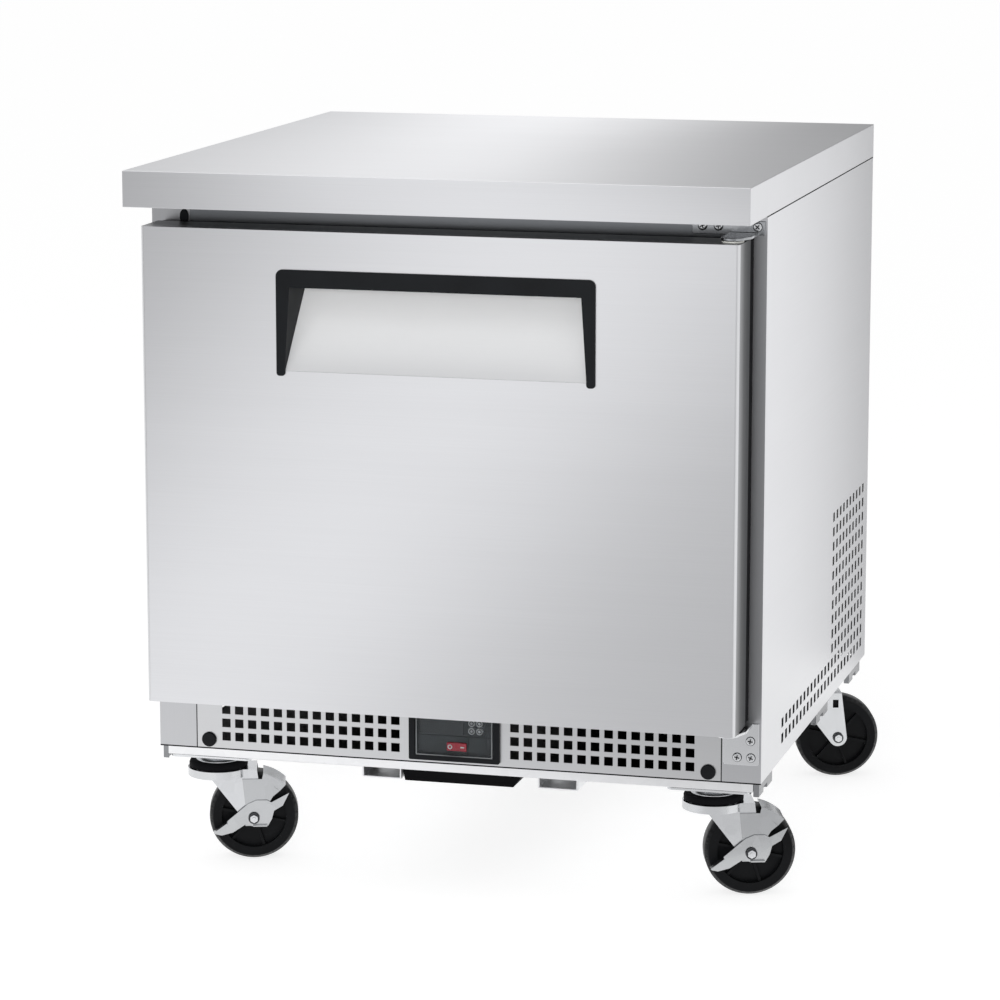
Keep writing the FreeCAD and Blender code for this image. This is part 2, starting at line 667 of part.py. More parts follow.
def axle(braked):
    """Rivet bolt with its spacer sleeve between the legs, a round head and a hex nut behind."""
    leg_out = LEG_GAP + FORK_SHEET
    stack = SHOE_SHEET + LEVER_SHEET + 3 * GAP if braked else 0
    front = -leg_out - stack
    sleeve = rod(AXLE_R, (TRAIL, -LEG_GAP, WHEEL_R), 2 * LEG_GAP, Y)
    bolt = rod(AXLE_R - 1, (TRAIL, front, WHEEL_R), leg_out - front, Y)
    nut = hexagon(NUT_WIDTH, (TRAIL, leg_out, WHEEL_R), 5, Y)
    head = rod(AXLE_HEAD_R, (TRAIL, front - 2.5, WHEEL_R), 2.5, Y)
    return sleeve.fuse([bolt, head, nut]).removeSplitter()


def caster_fork(braked):
    return group([fork_yoke(braked), axle(braked)])


def caster_wheel():
    """Moulded wheel: bevelled tread, dished sides, six ribs each side and a bored hub."""
    half = WHEEL_WIDTH / 2
    one_side = [(AXLE_R + RUN, HUB_HALF), (HUB_R, HUB_HALF), (HUB_R, WEB_HALF), (RIM_R, WEB_HALF),
                (RIM_R, half), (WHEEL_R - 4, half), (WHEEL_R, half - 6)]
    profile = one_side + [(r, -h) for r, h in reversed(one_side)]
    wheel = revolve(profile, "y", FreeCAD.Vector(TRAIL, 0, WHEEL_R))
    ribs = []
    for turn in range(6):
        rib = box((HUB_R - 0.5, RIM_R + 0.5), (3 - half, half - 3), (-1.5, 1.5))
        rib.rotate(ORIGIN, Y, 60 * turn + 12)
        rib.translate(FreeCAD.Vector(TRAIL, 0, WHEEL_R))
        ribs.append(rib)
    return wheel.fuse(ribs).removeSplitter()


def brake_shoe():
    """Plate on the axle whose upper end curls over the tread."""
    y = -LEG_GAP - FORK_SHEET - GAP - SHOE_SHEET
    reach = 40.0
    inner = WHEEL_R + GAP
    arc = (46.0, 78.0)
    corners = [(-13, 45), (9.2, 45), (18, 40), (29.7, 30.8), (22, 24.5), (15.5, 14), (13, 0),
               (10, -10), (-10, -10), (-9.5, 12)]
    flat = plate([(TRAIL + a, WHEEL_R + b) for a, b in corners], "y", y, y + SHOE_SHEET)
    slot = box((TRAIL - 5.1, TRAIL + 5.1), (y, y + SHOE_SHEET), (WHEEL_R - 7.5, WHEEL_R + 7.5))

    def on_arc(radius, angle):
        turn = math.radians(angle)
        return FreeCAD.Vector(TRAIL + radius * math.cos(turn), y, WHEEL_R + radius * math.sin(turn))

    def sector(low, high, depth):
        middle = sum(arc) / 2
        outer = Part.Arc(on_arc(high, arc[0]), on_arc(high, middle), on_arc(high, arc[1]))
        back = Part.Arc(on_arc(low, arc[1]), on_arc(low, middle), on_arc(low, arc[0]))
        wire = Part.Wire([outer.toShape(), Part.makeLine(on_arc(high, arc[1]), on_arc(low, arc[1])),
                          back.toShape(), Part.makeLine(on_arc(low, arc[0]), on_arc(high, arc[0]))])
        return Part.Face(wire).extrude(Y * depth)

    web = sector(WHEEL_R - 8, inner + SHOE_SHEET, SHOE_SHEET)
    curl = sector(inner, inner + SHOE_SHEET, reach)
    return flat.fuse([web, curl]).removeSplitter().cut(slot)


def brake_lever():
    """Winged pedal on the axle, with a bent foot on one wing and a bent tab below."""
    y = -LEG_GAP - FORK_SHEET - 2 * GAP - SHOE_SHEET - LEVER_SHEET
    corners = [(-46, -15), (-31, -4), (-6.5, 16.5), (3, 20.5), (15, 20.5), (20, 18), (40.5, 29),
               (33, 14), (23, 8), (20.5, -1.5), (16, -9.5), (-3.5, -9.5), (-8.5, -7), (-24, -17),
               (-37, -20.5), (-44, -19)]
    wings = plate([(TRAIL + a, WHEEL_R + b) for a, b in corners], "y", y, y + LEVER_SHEET)
    wings = wings.cut(rod(5 + RUN, (TRAIL, y, WHEEL_R), LEVER_SHEET, Y))
    foot = plate([(-46, -15), (-31, -4), (-30, -5.4), (-45, -16.4)], "y", y - 9, y)
    tab = box((-1, 15), (y - 4, y), (-9.5, -8.0))
    bends = []
    for piece in (foot, tab):
        piece.translate(FreeCAD.Vector(TRAIL, 0, WHEEL_R))
        bends.append(piece)
    return wings.fuse(bends).removeSplitter()


# ---------------------------------------------------------------- hinges
BRACKET_SHEET = 2.5
LEAF_SHEET = 3.0
LEAF_END_R = 13.0
BUSH_FLANGE = 1.5
BUSH_R = 9.0
BUSH_LENGTH = 22.0
LOW_BRACKET_Z = DECK_Z + 21.2
TOP_BRACKET_REACH = 37.75   # top bracket's plate inwards from the post


def hinge_leaf(low):
    """Flat arm from the bracket out to a round end about the door pin."""
    root = FACE_Y - BRACKET_SHEET
    arm = box((PIN_X - LEAF_END_R, PIN_X + LEAF_END_R + 5), (root, PIN_Y + 12), (low, low + LEAF_SHEET))
    taper = plate([(PIN_X - LEAF_END_R, PIN_Y), (PIN_X + LEAF_END_R, PIN_Y),
                   (PIN_X + LEAF_END_R + 5, PIN_Y + 12), (PIN_X - LEAF_END_R, PIN_Y + 12)],
                  "z", low, low + LEAF_SHEET)
    end = rod(LEAF_END_R, (PIN_X, PIN_Y, low), LEAF_SHEET)
    return arm.fuse([taper, end])


def hinge_bracket_bottom():
    leaf_top = DOOR_BOTTOM - BUSH_FLANGE - GAP
    leaf = hinge_leaf(leaf_top - LEAF_SHEET)
    back = box((POST_X + 2.0, HALF - 2.2), (FACE_Y - BRACKET_SHEET, FACE_Y), (LOW_BRACKET_Z, leaf_top))
    back = round_edges(back, 3.0,
                       lambda edge: runs_along(edge, Y) and edge.CenterOfMass.z < LOW_BRACKET_Z + 4)
    pin = rod(PIN_R, (PIN_X, PIN_Y, leaf_top), BUSH_LENGTH)
    return back.fuse([leaf, pin]).removeSplitter()


def hinge_bracket_top():
    leaf_low = DOOR_TOP + BUSH_FLANGE + GAP
    leaf = hinge_leaf(leaf_low)
    inner = POST_X - TOP_BRACKET_REACH
    back = box((inner, HALF - 2.2), (FACE_Y - BRACKET_SHEET, FACE_Y), (leaf_low, leaf_low + 15))
    back = round_edges(back, 3.0, lambda edge: runs_along(edge, Y) and edge.CenterOfMass.x < inner + 3)
    pin = rod(PIN_R, (PIN_X, PIN_Y, leaf_low - BUSH_LENGTH), BUSH_LENGTH)
    return back.fuse([leaf, pin]).removeSplitter()


BRACKET_SCREW = (4.2, 2.2)   # head radius and height
PANEL_SCREW = (3.6, 0.8)
SCREW_ROW = 9.0              # top bracket's screws above its lower edge
PANEL_SCREW_EDGE = 12.0


def screws():
    """Screws of the two hinge brackets and of the back panels."""
    heads = []
    front = FACE_Y - BRACKET_SHEET
    high = DOOR_TOP + BUSH_FLANGE + GAP + SCREW_ROW
    low = LOW_BRACKET_Z + SCREW_ROW - 0.1
    for x, z in ((HALF - 11.6, low + 18.8), (HALF - 26.3, low), (HALF - 11.0, low),
                 (POST_X - 26.1, high), (POST_X - 8.7, high), (HALF - 10.3, high)):
        heads.append(rod(BRACKET_SCREW[0], (x, front - BRACKET_SCREW[1], z), BRACKET_SCREW[1], Y))
    edge = HALF - PANEL_EDGE - 8.0
    for x in (-edge, edge):
        for z in (DECK_Z + PANEL_SCREW_EDGE, MACHINE_ROOF - PANEL_SCREW_EDGE,
                  MACHINE_ROOF + PANEL_SCREW_EDGE, CABINET_TOP - PANEL_SCREW_EDGE - 4):
            heads.append(rod(PANEL_SCREW[0], (x, BACK_Y + SHEET, z), PANEL_SCREW[1], Y))
    return group(heads)


# ---------------------------------------------------------------- door
GASKET_EDGE = 17.0       # gasket inside the door's edge
GASKET_WIDTH = 26.0
FLANGE_PROUD = 2.0       # handle moulding in front of the door
TUB_WALL = 2.5
LEG_TOP = 15.5           # width of the handle's legs at the top
LEG_FOOT = 9.5           # and at their feet
BAR = 19.5               # height of the handle's top bar
PLATE_FOOT = 5.5         # sloping plate's foot above the feet of the legs
HOOK = 14.0              # finger space behind the top bar
PLATE_TOP = 24.5         # sloping plate's upper edge below the moulding's top
COLLAR_INSET = 6.0       # moulding's body inside its rim
ROOF_DROP = 3.0          # moulding's body below the rim's top
FOOT_LAP = 0.8           # cut-out below the plate's foot
DRAFT = 4.0              # how far the pocket's cheeks lean in
BAR_ROUND = 7.5
LEG_ROUND = 3.5
GASKET_BASE = 6.0        # thickness of the gasket's base
BUSH_HOLES = ((DOOR_TOP, -1), (DOOR_BOTTOM, 1))


def bush_holes():
    """Round holes in the door's ends that take the hinge bushes."""
    depth = BUSH_LENGTH - BUSH_FLANGE
    return [rod(BUSH_R, (PIN_X, PIN_Y, z + min(0, side * depth)), depth) for z, side in BUSH_HOLES]


def tub_profile():
    """Side view of the handle moulding's hidden body: sloping under, upright behind."""
    foot = HANDLE_Z - HANDLE_DROP + PLATE_FOOT
    high = HANDLE_Z - PLATE_TOP
    back = DOOR_Y + HANDLE_POCKET
    slope = FreeCAD.Vector(0, HANDLE_POCKET, high - foot).normalize()
    under = FreeCAD.Vector(0, slope.z, -slope.y) * (TUB_WALL + SHEET)
    return [(DOOR_Y + SHEET, foot - FOOT_LAP), (DOOR_Y + under.y, foot + under.z - 0.3),
            (back + TUB_WALL, high + under.z), (back + TUB_WALL, HANDLE_Z - ROOF_DROP),
            (DOOR_Y + SHEET, HANDLE_Z - ROOF_DROP)]


def tub_block():
    half = HANDLE_WIDTH / 2 - COLLAR_INSET
    return plate(tub_profile(), "x", -half, half)


def door_skin():
    """Folded front: face and four edges, with the handle cut-out and hinge holes."""
    outer = box((-DOOR_HALF, DOOR_HALF), (DOOR_Y, DOOR_BACK), (DOOR_BOTTOM, DOOR_TOP))
    outer = round_edges(outer, DOOR_ROUND,
                        lambda edge: runs_along(edge, Z) and edge.CenterOfMass.y < DOOR_Y + 1)
    inner_half = DOOR_HALF - SHEET
    inner = box((-inner_half, inner_half), (DOOR_Y + SHEET, DOOR_BACK),
                (DOOR_BOTTOM + SHEET, DOOR_TOP - SHEET))
    inner = round_edges(inner, DOOR_ROUND - SHEET,
                        lambda edge: runs_along(edge, Z) and edge.CenterOfMass.y < DOOR_Y + 2)
    half = HANDLE_WIDTH / 2 - COLLAR_INSET
    window = box((-half, half), (DOOR_Y, DOOR_Y + SHEET),
                 (HANDLE_Z - HANDLE_DROP + PLATE_FOOT - FOOT_LAP, HANDLE_Z - ROOF_DROP))
    return outer.cut([inner, window, *bush_holes()])


def door_foam():
    inner_half = DOOR_HALF - SHEET
    block = box((-inner_half, inner_half), (DOOR_Y + SHEET, DOOR_BACK - SHEET),
                (DOOR_BOTTOM + SHEET, DOOR_TOP - SHEET))
    block = round_edges(block, DOOR_ROUND - SHEET,
                        lambda edge: runs_along(edge, Z) and edge.CenterOfMass.y < DOOR_Y + 2)
    return block.cut([tub_block(), *bush_holes()])


def door_inner_panel():
    inner_half = DOOR_HALF - SHEET
    return box((-inner_half, inner_half), (DOOR_BACK - SHEET, DOOR_BACK),
               (DOOR_BOTTOM + SHEET, DOOR_TOP - SHEET))


def door_gasket():
    """Magnetic gasket: a flat base with a softer bulb that meets the cabinet face."""
    half = DOOR_HALF - GASKET_EDGE
    low = DOOR_BOTTOM + GASKET_EDGE
    high = DOOR_TOP - GASKET_EDGE
    base_end = DOOR_BACK + GASKET_BASE
    seal_end = FACE_Y - GAP
    width = GASKET_WIDTH
    neck = 3.0
    base = plate(rectangle((-half, half), (low, high)), "y", DOOR_BACK, base_end,
                 [rectangle((-half + width, half - width), (low + width, high - width))])
    inset = width - neck
    bulb = plate(rectangle((-half + neck, half - neck), (low + neck, high - neck)),
                 "y", base_end, seal_end,
                 [rectangle((-half + inset, half - inset), (low + inset, high - inset))])
    return base.fuse(bulb).removeSplitter()


def door_hinge_bushes():
    """Nylon bushes in the door's ends; the lower one carries the door on its bracket."""
    bushes = []
    for z, side in BUSH_HOLES:
        depth = BUSH_LENGTH - BUSH_FLANGE
        sleeve = rod(BUSH_R, (PIN_X, PIN_Y, z + min(0, side * depth)), depth)
        flange = rod(BUSH_R + 3, (PIN_X, PIN_Y, z + min(0, -side * BUSH_FLANGE)), BUSH_FLANGE)
        bore = rod(PIN_R + RUN, (PIN_X, PIN_Y, z - BUSH_LENGTH - 1), 2 * BUSH_LENGTH + 2)
        bushes.append(sleeve.fuse(flange).cut(bore).removeSplitter())
    return group(bushes)


def finger_pocket():
    """Wedge between the drafted cheeks, and the hook space behind the top bar."""
    foot = HANDLE_Z - HANDLE_DROP + PLATE_FOOT
    bar_low = HANDLE_Z - BAR
    front = DOOR_Y - FLANGE_PROUD
    back = DOOR_Y + HANDLE_POCKET
    low_half = HANDLE_WIDTH / 2 - LEG_FOOT
    high_half = HANDLE_WIDTH / 2 - LEG_TOP
    deep_half = high_half - DRAFT
    plate_top = HANDLE_Z - PLATE_TOP
    mouth = [(-low_half, foot), (low_half, foot), (high_half, bar_low), (-high_half, bar_low)]
    deep = [(-deep_half, plate_top), (deep_half, plate_top), (deep_half, bar_low),
            (-deep_half, bar_low)]
    wedge = Part.makeLoft([loop(mouth, "y", DOOR_Y), loop(deep, "y", back)], True, True)
    lip = plate(mouth, "y", front, DOOR_Y)
    hook = box((-deep_half, deep_half), (back - HOOK - 18.0, back), (plate_top, HANDLE_Z - 7))
    return wedge.fuse([lip, hook])


def handle_plate():
    """Stainless plate laid on the pocket's slope, its foot flush with the door face."""
    foot = HANDLE_Z - HANDLE_DROP + PLATE_FOOT
    high = HANDLE_Z - PLATE_TOP
    back = DOOR_Y + HANDLE_POCKET
    low_half = HANDLE_WIDTH / 2 - LEG_FOOT
    deep_half = HANDLE_WIDTH / 2 - LEG_TOP - DRAFT
    corners = [FreeCAD.Vector(-low_half, DOOR_Y, foot), FreeCAD.Vector(low_half, DOOR_Y, foot),
               FreeCAD.Vector(deep_half, back, high), FreeCAD.Vector(-deep_half, back, high)]
    slope = FreeCAD.Vector(0, HANDLE_POCKET, high - foot).normalize()
    inward = FreeCAD.Vector(0, slope.z, -slope.y)
    sheet = Part.Face(Part.makePolygon(corners + corners[:1])).extrude(inward * SHEET)
    return sheet


def handle_moulding():
    """Black moulding: the upside-down U on the door face, its cheeks, roof and body."""
    half = HANDLE_WIDTH / 2
    foot = HANDLE_Z - HANDLE_DROP
    bar_low = HANDLE_Z - BAR
    outline = [(-half, foot), (-half, HANDLE_Z), (half, HANDLE_Z), (half, foot),
               (half - LEG_FOOT, foot), (half - LEG_TOP, bar_low), (-half + LEG_TOP, bar_low),
               (-half + LEG_FOOT, foot)]
    rim = plate(outline, "y", DOOR_Y - FLANGE_PROUD, DOOR_Y)
    rim = round_edges(rim, BAR_ROUND, lambda edge: runs_along(edge, Y) and edge.CenterOfMass.z > HANDLE_Z - 1)
    rim = round_edges(rim, LEG_ROUND, lambda edge: runs_along(edge, Y) and edge.CenterOfMass.z < foot + 1)
    collar_half = half - COLLAR_INSET
    collar = plate(tub_profile(), "x", -collar_half, collar_half)
    through = box((-collar_half, collar_half), (DOOR_Y, DOOR_Y + SHEET),
                  (foot + PLATE_FOOT - FOOT_LAP, HANDLE_Z - ROOF_DROP))
    body = collar.fuse(through)
    return rim.fuse(body).removeSplitter().cut([finger_pocket(), handle_plate()])


# ---------------------------------------------------------------- storage space
SHELF_RISE = 54.0        # shelf above the step
SHELF_Z = STEP_TOP + SHELF_RISE
SHELF_FRONT = FACE_BACK + BREAKER_LEG + 8.0
SHELF_BACK = CAVITY_BACK - LINER - 6.0
STRIP_DEPTH = 4.0
STRIP_WIDTH = 14.0
CLIP_DEPTH = 9.0
SHELF_HALF = CAVITY_HALF - LINER - STRIP_DEPTH - 3.0
STRIP_Y = (FACE_BACK + 71.0, CAVITY_BACK - 75.0)
SHELF_ROD = 3.0
SHELF_WIRE = 1.5
SHELF_WIRES = 20
WELD = 0.6               # how far crossing rods sink into each other


def shelf():
    """Wire shelf: two side rods, three cross rods on them and thin wires along the top."""
    side_x = SHELF_HALF - SHELF_ROD
    length = SHELF_BACK - SHELF_FRONT
    low = SHELF_Z - 2 * SHELF_ROD + WELD
    high = SHELF_Z + SHELF_ROD + SHELF_WIRE - WELD
    rods = [hexagon(2 * SHELF_ROD, (x, SHELF_FRONT, low), length, Y) for x in (-side_x, side_x)]
    rods += [hexagon(2 * SHELF_ROD, (-side_x, y, SHELF_Z), 2 * side_x, X)
             for y in (SHELF_FRONT + 5, (SHELF_FRONT + SHELF_BACK) / 2, SHELF_BACK - 5)]
    for i in range(SHELF_WIRES):
        x = side_x * (2 * i / (SHELF_WIRES - 1) - 1)
        rods.append(hexagon(2 * SHELF_WIRE, (x, SHELF_FRONT, high), length, Y))
    return rods[0].fuse(rods[1:])


def shelf_supports():
    """Slotted wall strips with a hooked clip on each, which carries the shelf's side rod."""
    pieces = []
    wall = CAVITY_HALF - LINER - STRIP_DEPTH
    seat = SHELF_Z - 3 * SHELF_ROD + WELD
    for y in STRIP_Y:
        low = CAVITY_FLOOR + 40 if y < STEP_FRONT else STEP_TOP + 20
        strip = box((wall, wall + STRIP_DEPTH), (y - STRIP_WIDTH / 2, y + STRIP_WIDTH / 2),
                    (low, CAVITY_ROOF - 60))
        hook = box((wall - CLIP_DEPTH, wall), (y - 5, y + 5), (seat - 3, seat))
        stem = box((wall - 2, wall), (y - 5, y + 5), (seat - 20, seat - 3))
        clip = hook.fuse(stem).removeSplitter()
        for piece in (strip, clip):
            pieces += [piece, mirrored(piece)]
    return group(pieces)


# ---------------------------------------------------------------- cold air unit
UNIT_X = CAVITY_HALF - 76.0
COIL_X = UNIT_X - 35.0
UNIT_FRONT = CAVITY_BACK - 135.0
UNIT_SHARE = 125.0 / 285.0        # cold unit, of the height above the step
FAN_MARGIN = 10.0                 # unit's sheet beyond the fan's tips
UNIT_LOW = CAVITY_ROOF - UNIT_SHARE * (CAVITY_ROOF - STEP_TOP)
UNIT_ROOF = CAVITY_ROOF - LINER
FAN_R = (UNIT_ROOF - UNIT_LOW) / 2 - FAN_MARGIN
FAN_Z = (UNIT_LOW + UNIT_ROOF) / 2
FAN_X = -60.0


def evaporator_cover():
    """Sheet cover hung from the ceiling, open behind, with the fan opening in front."""
    outer = box((-UNIT_X, UNIT_X), (UNIT_FRONT, CAVITY_BACK - LINER), (UNIT_LOW, UNIT_ROOF))
    inner = box((-UNIT_X + SHEET, UNIT_X - SHEET), (UNIT_FRONT + SHEET, CAVITY_BACK - LINER),
                (UNIT_LOW + SHEET, UNIT_ROOF))
    mouth = rod(FAN_R + 4, (FAN_X, UNIT_FRONT, FAN_Z), SHEET, Y)
    vents = [box((60 + 20 * i, 70 + 20 * i), (UNIT_FRONT, UNIT_FRONT + SHEET),
                 (UNIT_LOW + 20, UNIT_ROOF - 20)) for i in range(7)]
    return outer.cut([inner, mouth, *vents])


def evaporator_coil():
    """Finned coil between two end plates."""
    y = (CAVITY_BACK - LINER - 66, CAVITY_BACK - LINER - 6)
    z = (UNIT_LOW + 10, UNIT_ROOF)
    core = box((-COIL_X, COIL_X), y, (z[0] + 4, z[1] - 4))
    ends = [box(x, y, z) for x in ((-COIL_X - SHEET, -COIL_X), (COIL_X, COIL_X + SHEET))]
    return core.fuse(ends).removeSplitter()


def fan_motor(centre, back, radius, length):
    """Drum motor on a cross bar, its shaft pointing forward."""
    x, y, z = centre
    drum = rod(radius, (x, y, z), length, Y)
    shaft = rod(3.0, (x, y - 18, z), 18, Y)
    arms = box((x - 5, x + 5), (y + length, y + length + 2), back)
    return drum.fuse([shaft, arms]).removeSplitter()


def fan_blade(centre, radius, blades, depth):
    """Hub bored for the motor shaft, with pitched blades trimmed to one circle."""
    hub = rod(12.0, (0, -depth / 2, 0), depth, Y)
    vanes = []
    for i in range(blades):
        vane = box((10.0, radius), (-0.75, 0.75), (-radius * 0.3, radius * 0.3))
        vane.rotate(ORIGIN, X, 30)
        vane.rotate(ORIGIN, Y, 360 / blades * i)
        vanes.append(vane)
    ring = rod(radius, (0, -depth, 0), 2 * depth, Y)
    rotor = hub.fuse([vane.common(ring) for vane in vanes]).removeSplitter()
    rotor = rotor.cut(rod(3.0 + RUN, (0, -depth, 0), 2 * depth, Y))
    rotor.translate(FreeCAD.Vector(*centre))
    return rotor


def evaporator_fan_motor():
    return fan_motor((FAN_X, UNIT_FRONT + 26, FAN_Z), (UNIT_LOW + SHEET, UNIT_ROOF), 22.0, 30.0)


def evaporator_fan_blade():
    return fan_blade((FAN_X, UNIT_FRONT + 16, FAN_Z), FAN_R, 5, 14.0)


# ---------------------------------------------------------------- machine space
POT_X = 159.25 - HALF
POT_Y = MACHINE_FRONT + 135.0
POT_R = 68.0
POT_FOOT = 14.0
POT_TALL = 165.0
COOLER_X = (20.0, HALF - 49.25)
COOLER_Y = (MACHINE_FRONT + 18.0, MACHINE_FRONT + 56.0)
COOLER_Z = (DECK_Z + 8, MACHINE_ROOF - 12)
COOL_FAN_X = sum(COOLER_X) / 2
COOL_FAN_Z = sum(COOLER_Z) / 2
COOL_FAN_R = 88.0
LIQUID_X = -20.0


def compressor():
    """Hermetic pot: domed can with a weld seam, on a foot plate with four feet."""
    base = DECK_Z + POT_FOOT
    seam = 0.55 * POT_TALL
    dome = 34.0
    lift = dome * (1 - math.sqrt(0.5))
    profile = [(0, 0), (POT_R, 0), (POT_R, seam), (POT_R + 3, seam), (POT_R + 3, seam + 4),
               (POT_R, seam + 4), (POT_R, POT_TALL - dome), (POT_R - lift, POT_TALL - lift),
               (POT_R - dome, POT_TALL), (0, POT_TALL)]
    can = revolve(profile, "z", FreeCAD.Vector(POT_X, POT_Y, base))
    foot = box((POT_X - 85, POT_X + 85), (POT_Y - 60, POT_Y + 60), (base - 4, base))
    feet = [rod(9, (POT_X + a, POT_Y + b, DECK_Z), POT_FOOT - 4) for a in (-72, 72) for b in (-46, 46)]
    cover = box((POT_X - 25, POT_X + 25), (POT_Y - POT_R - 18, POT_Y - POT_R + 8),
                (base + 50, base + 80))
    return can.fuse([foot, cover, *feet]).removeSplitter()


def condenser_coil():
    """Finned block between end plates that stand on the floor pan."""
    core = box(COOLER_X, COOLER_Y, (COOLER_Z[0] + 6, COOLER_Z[1] - 4))
    ends = [box((x, x + SHEET), COOLER_Y, (DECK_Z, COOLER_Z[1]))
            for x in (COOLER_X[0] - SHEET, COOLER_X[1])]
    return core.fuse(ends).removeSplitter()


def condenser_fan_plate():
    """Plate behind the coil with the round fan opening."""
    y = COOLER_Y[1]
    outline = rectangle(COOLER_X, (DECK_Z, COOLER_Z[1]))
    sheet = plate(outline, "y", y, y + SHEET)
    ring = tube(COOL_FAN_R + 6, COOL_FAN_R + 4, (COOL_FAN_X, y, COOL_FAN_Z), 14, Y)
    mouth = rod(COOL_FAN_R + 4, (COOL_FAN_X, y, COOL_FAN_Z), SHEET, Y)
    return sheet.fuse(ring).cut(mouth)


def condenser_fan_motor():
    """Drum motor carried by a bar from the floor pan."""
    return fan_motor((COOL_FAN_X, COOLER_Y[1] + 36, COOL_FAN_Z), (DECK_Z, COOL_FAN_Z + 40), 32.0, 45.0)


def condenser_fan_blade():
    return fan_blade((COOL_FAN_X, COOLER_Y[1] + 20, COOL_FAN_Z), COOL_FAN_R, 5, 18.0)


def refrigerant_pipes():
    """Discharge pipe from compressor to coil, suction pipe from the roof, and the drier."""
    top = DECK_Z + POT_FOOT + POT_TALL
    tube_r = 4.0
    hot_y = COOLER_Y[0] + 8
    liquid_y = COOLER_Y[1] - 8
    over = top + 25
    discharge = bent_tube([(POT_X + 20, POT_Y, top), (POT_X + 20, POT_Y, over), (POT_X + 20, hot_y, over),
                           (COOLER_X[0] - SHEET, hot_y, over)], tube_r, 14)
    suction = rod(tube_r, (POT_X - 20, POT_Y, top), MACHINE_ROOF - top)
    liquid = bent_tube([(COOLER_X[0] - SHEET, liquid_y, COOLER_Z[0] + 20),
                        (LIQUID_X, liquid_y, COOLER_Z[0] + 20), (LIQUID_X, liquid_y, MACHINE_ROOF)],
                       3.0, 12)
    drier = revolve([(0, -48), (3.5, -48), (11, -36), (11, 36), (3.5, 48), (0, 48)], "z",
                    FreeCAD.Vector(LIQUID_X, liquid_y, MACHINE_ROOF - 80))
    return group([discharge, suction, liquid.fuse(drier).removeSplitter()])


# ---------------------------------------------------------------- all nodes
def caster_nodes():
    nodes = {}
    for corner in caster_centres():
        braked = corner.startswith("front")
        nodes["caster_fork_" + corner] = set_on_caster(caster_fork(braked), corner)
        nodes["caster_wheel_" + corner] = set_on_caster(caster_wheel(), corner)
        if braked:
            nodes["brake_shoe_" + corner] = set_on_caster(brake_shoe(), corner)
            nodes["brake_lever_" + corner] = set_on_caster(brake_lever(), corner)
    return nodes


def button_nodes():
    places = [(x, z) for z in reversed(BUTTON_Z) for x in BUTTON_X]
    return {f"set_button_{i + 1}": set_button(x, z) for i, (x, z) in enumerate(places)}


def all_nodes():
    makers = [worktop, worktop_core, face_frame, breaker_strip, insulation, inner_liner, back_panel,
              rear_grille, cord_gland, front_grille, black_plugs, controller_housing,
              controller_face, controller_cover, power_rocker, base_pan, base_channels,
              underside_pan, caster_plates, caster_seals, hinge_bracket_top, hinge_bracket_bottom,
              screws, door_skin, door_foam, door_inner_panel, door_gasket, door_hinge_bushes,
              handle_moulding, handle_plate, shelf, shelf_supports, evaporator_cover,
              evaporator_coil, evaporator_fan_motor, evaporator_fan_blade, compressor,
              condenser_coil, condenser_fan_plate, condenser_fan_motor, condenser_fan_blade,
              refrigerant_pipes]
    nodes = {maker.__name__: maker() for maker in makers}
    nodes["side_panel_right"] = side_panel()
    nodes["side_panel_left"] = mirrored(nodes["side_panel_right"])
    nodes.update(button_nodes())
    nodes.update(caster_nodes())
    return nodes


os.makedirs("parts", exist_ok=True)
for name, shape in all_nodes().items():
    shape.exportStep(f"parts/{name}.step")
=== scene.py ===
import math
import bpy
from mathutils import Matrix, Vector


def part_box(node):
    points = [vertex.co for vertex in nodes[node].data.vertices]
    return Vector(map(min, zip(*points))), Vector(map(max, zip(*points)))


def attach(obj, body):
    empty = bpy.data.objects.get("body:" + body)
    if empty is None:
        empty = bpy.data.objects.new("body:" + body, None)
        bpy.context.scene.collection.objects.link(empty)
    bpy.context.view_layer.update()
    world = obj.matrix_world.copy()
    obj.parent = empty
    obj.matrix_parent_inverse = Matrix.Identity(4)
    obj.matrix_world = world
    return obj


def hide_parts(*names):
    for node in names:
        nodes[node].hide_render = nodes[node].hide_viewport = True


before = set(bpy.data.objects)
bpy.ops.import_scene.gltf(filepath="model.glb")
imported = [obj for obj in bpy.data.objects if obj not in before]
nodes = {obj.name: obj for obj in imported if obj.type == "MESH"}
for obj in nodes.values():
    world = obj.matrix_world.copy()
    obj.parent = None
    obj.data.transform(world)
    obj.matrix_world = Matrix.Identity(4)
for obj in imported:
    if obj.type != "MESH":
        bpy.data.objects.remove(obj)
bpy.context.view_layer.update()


# ---------------------------------------------------------------- worktop
# One tray of thin stainless, brushed from side to side, its edges folded down and in over a board.
# The folds have a small radius and the corners are welded and dressed, so no seam shows.

def add(tree, kind, inputs=None, **settings):
    """Shader node with its settings and its unlinked inputs filled in."""
    node = tree.nodes.new(kind)
    for key, value in settings.items():
        setattr(node, key, value)
    for key, value in (inputs or {}).items():
        node.inputs[key].default_value = value
    return node


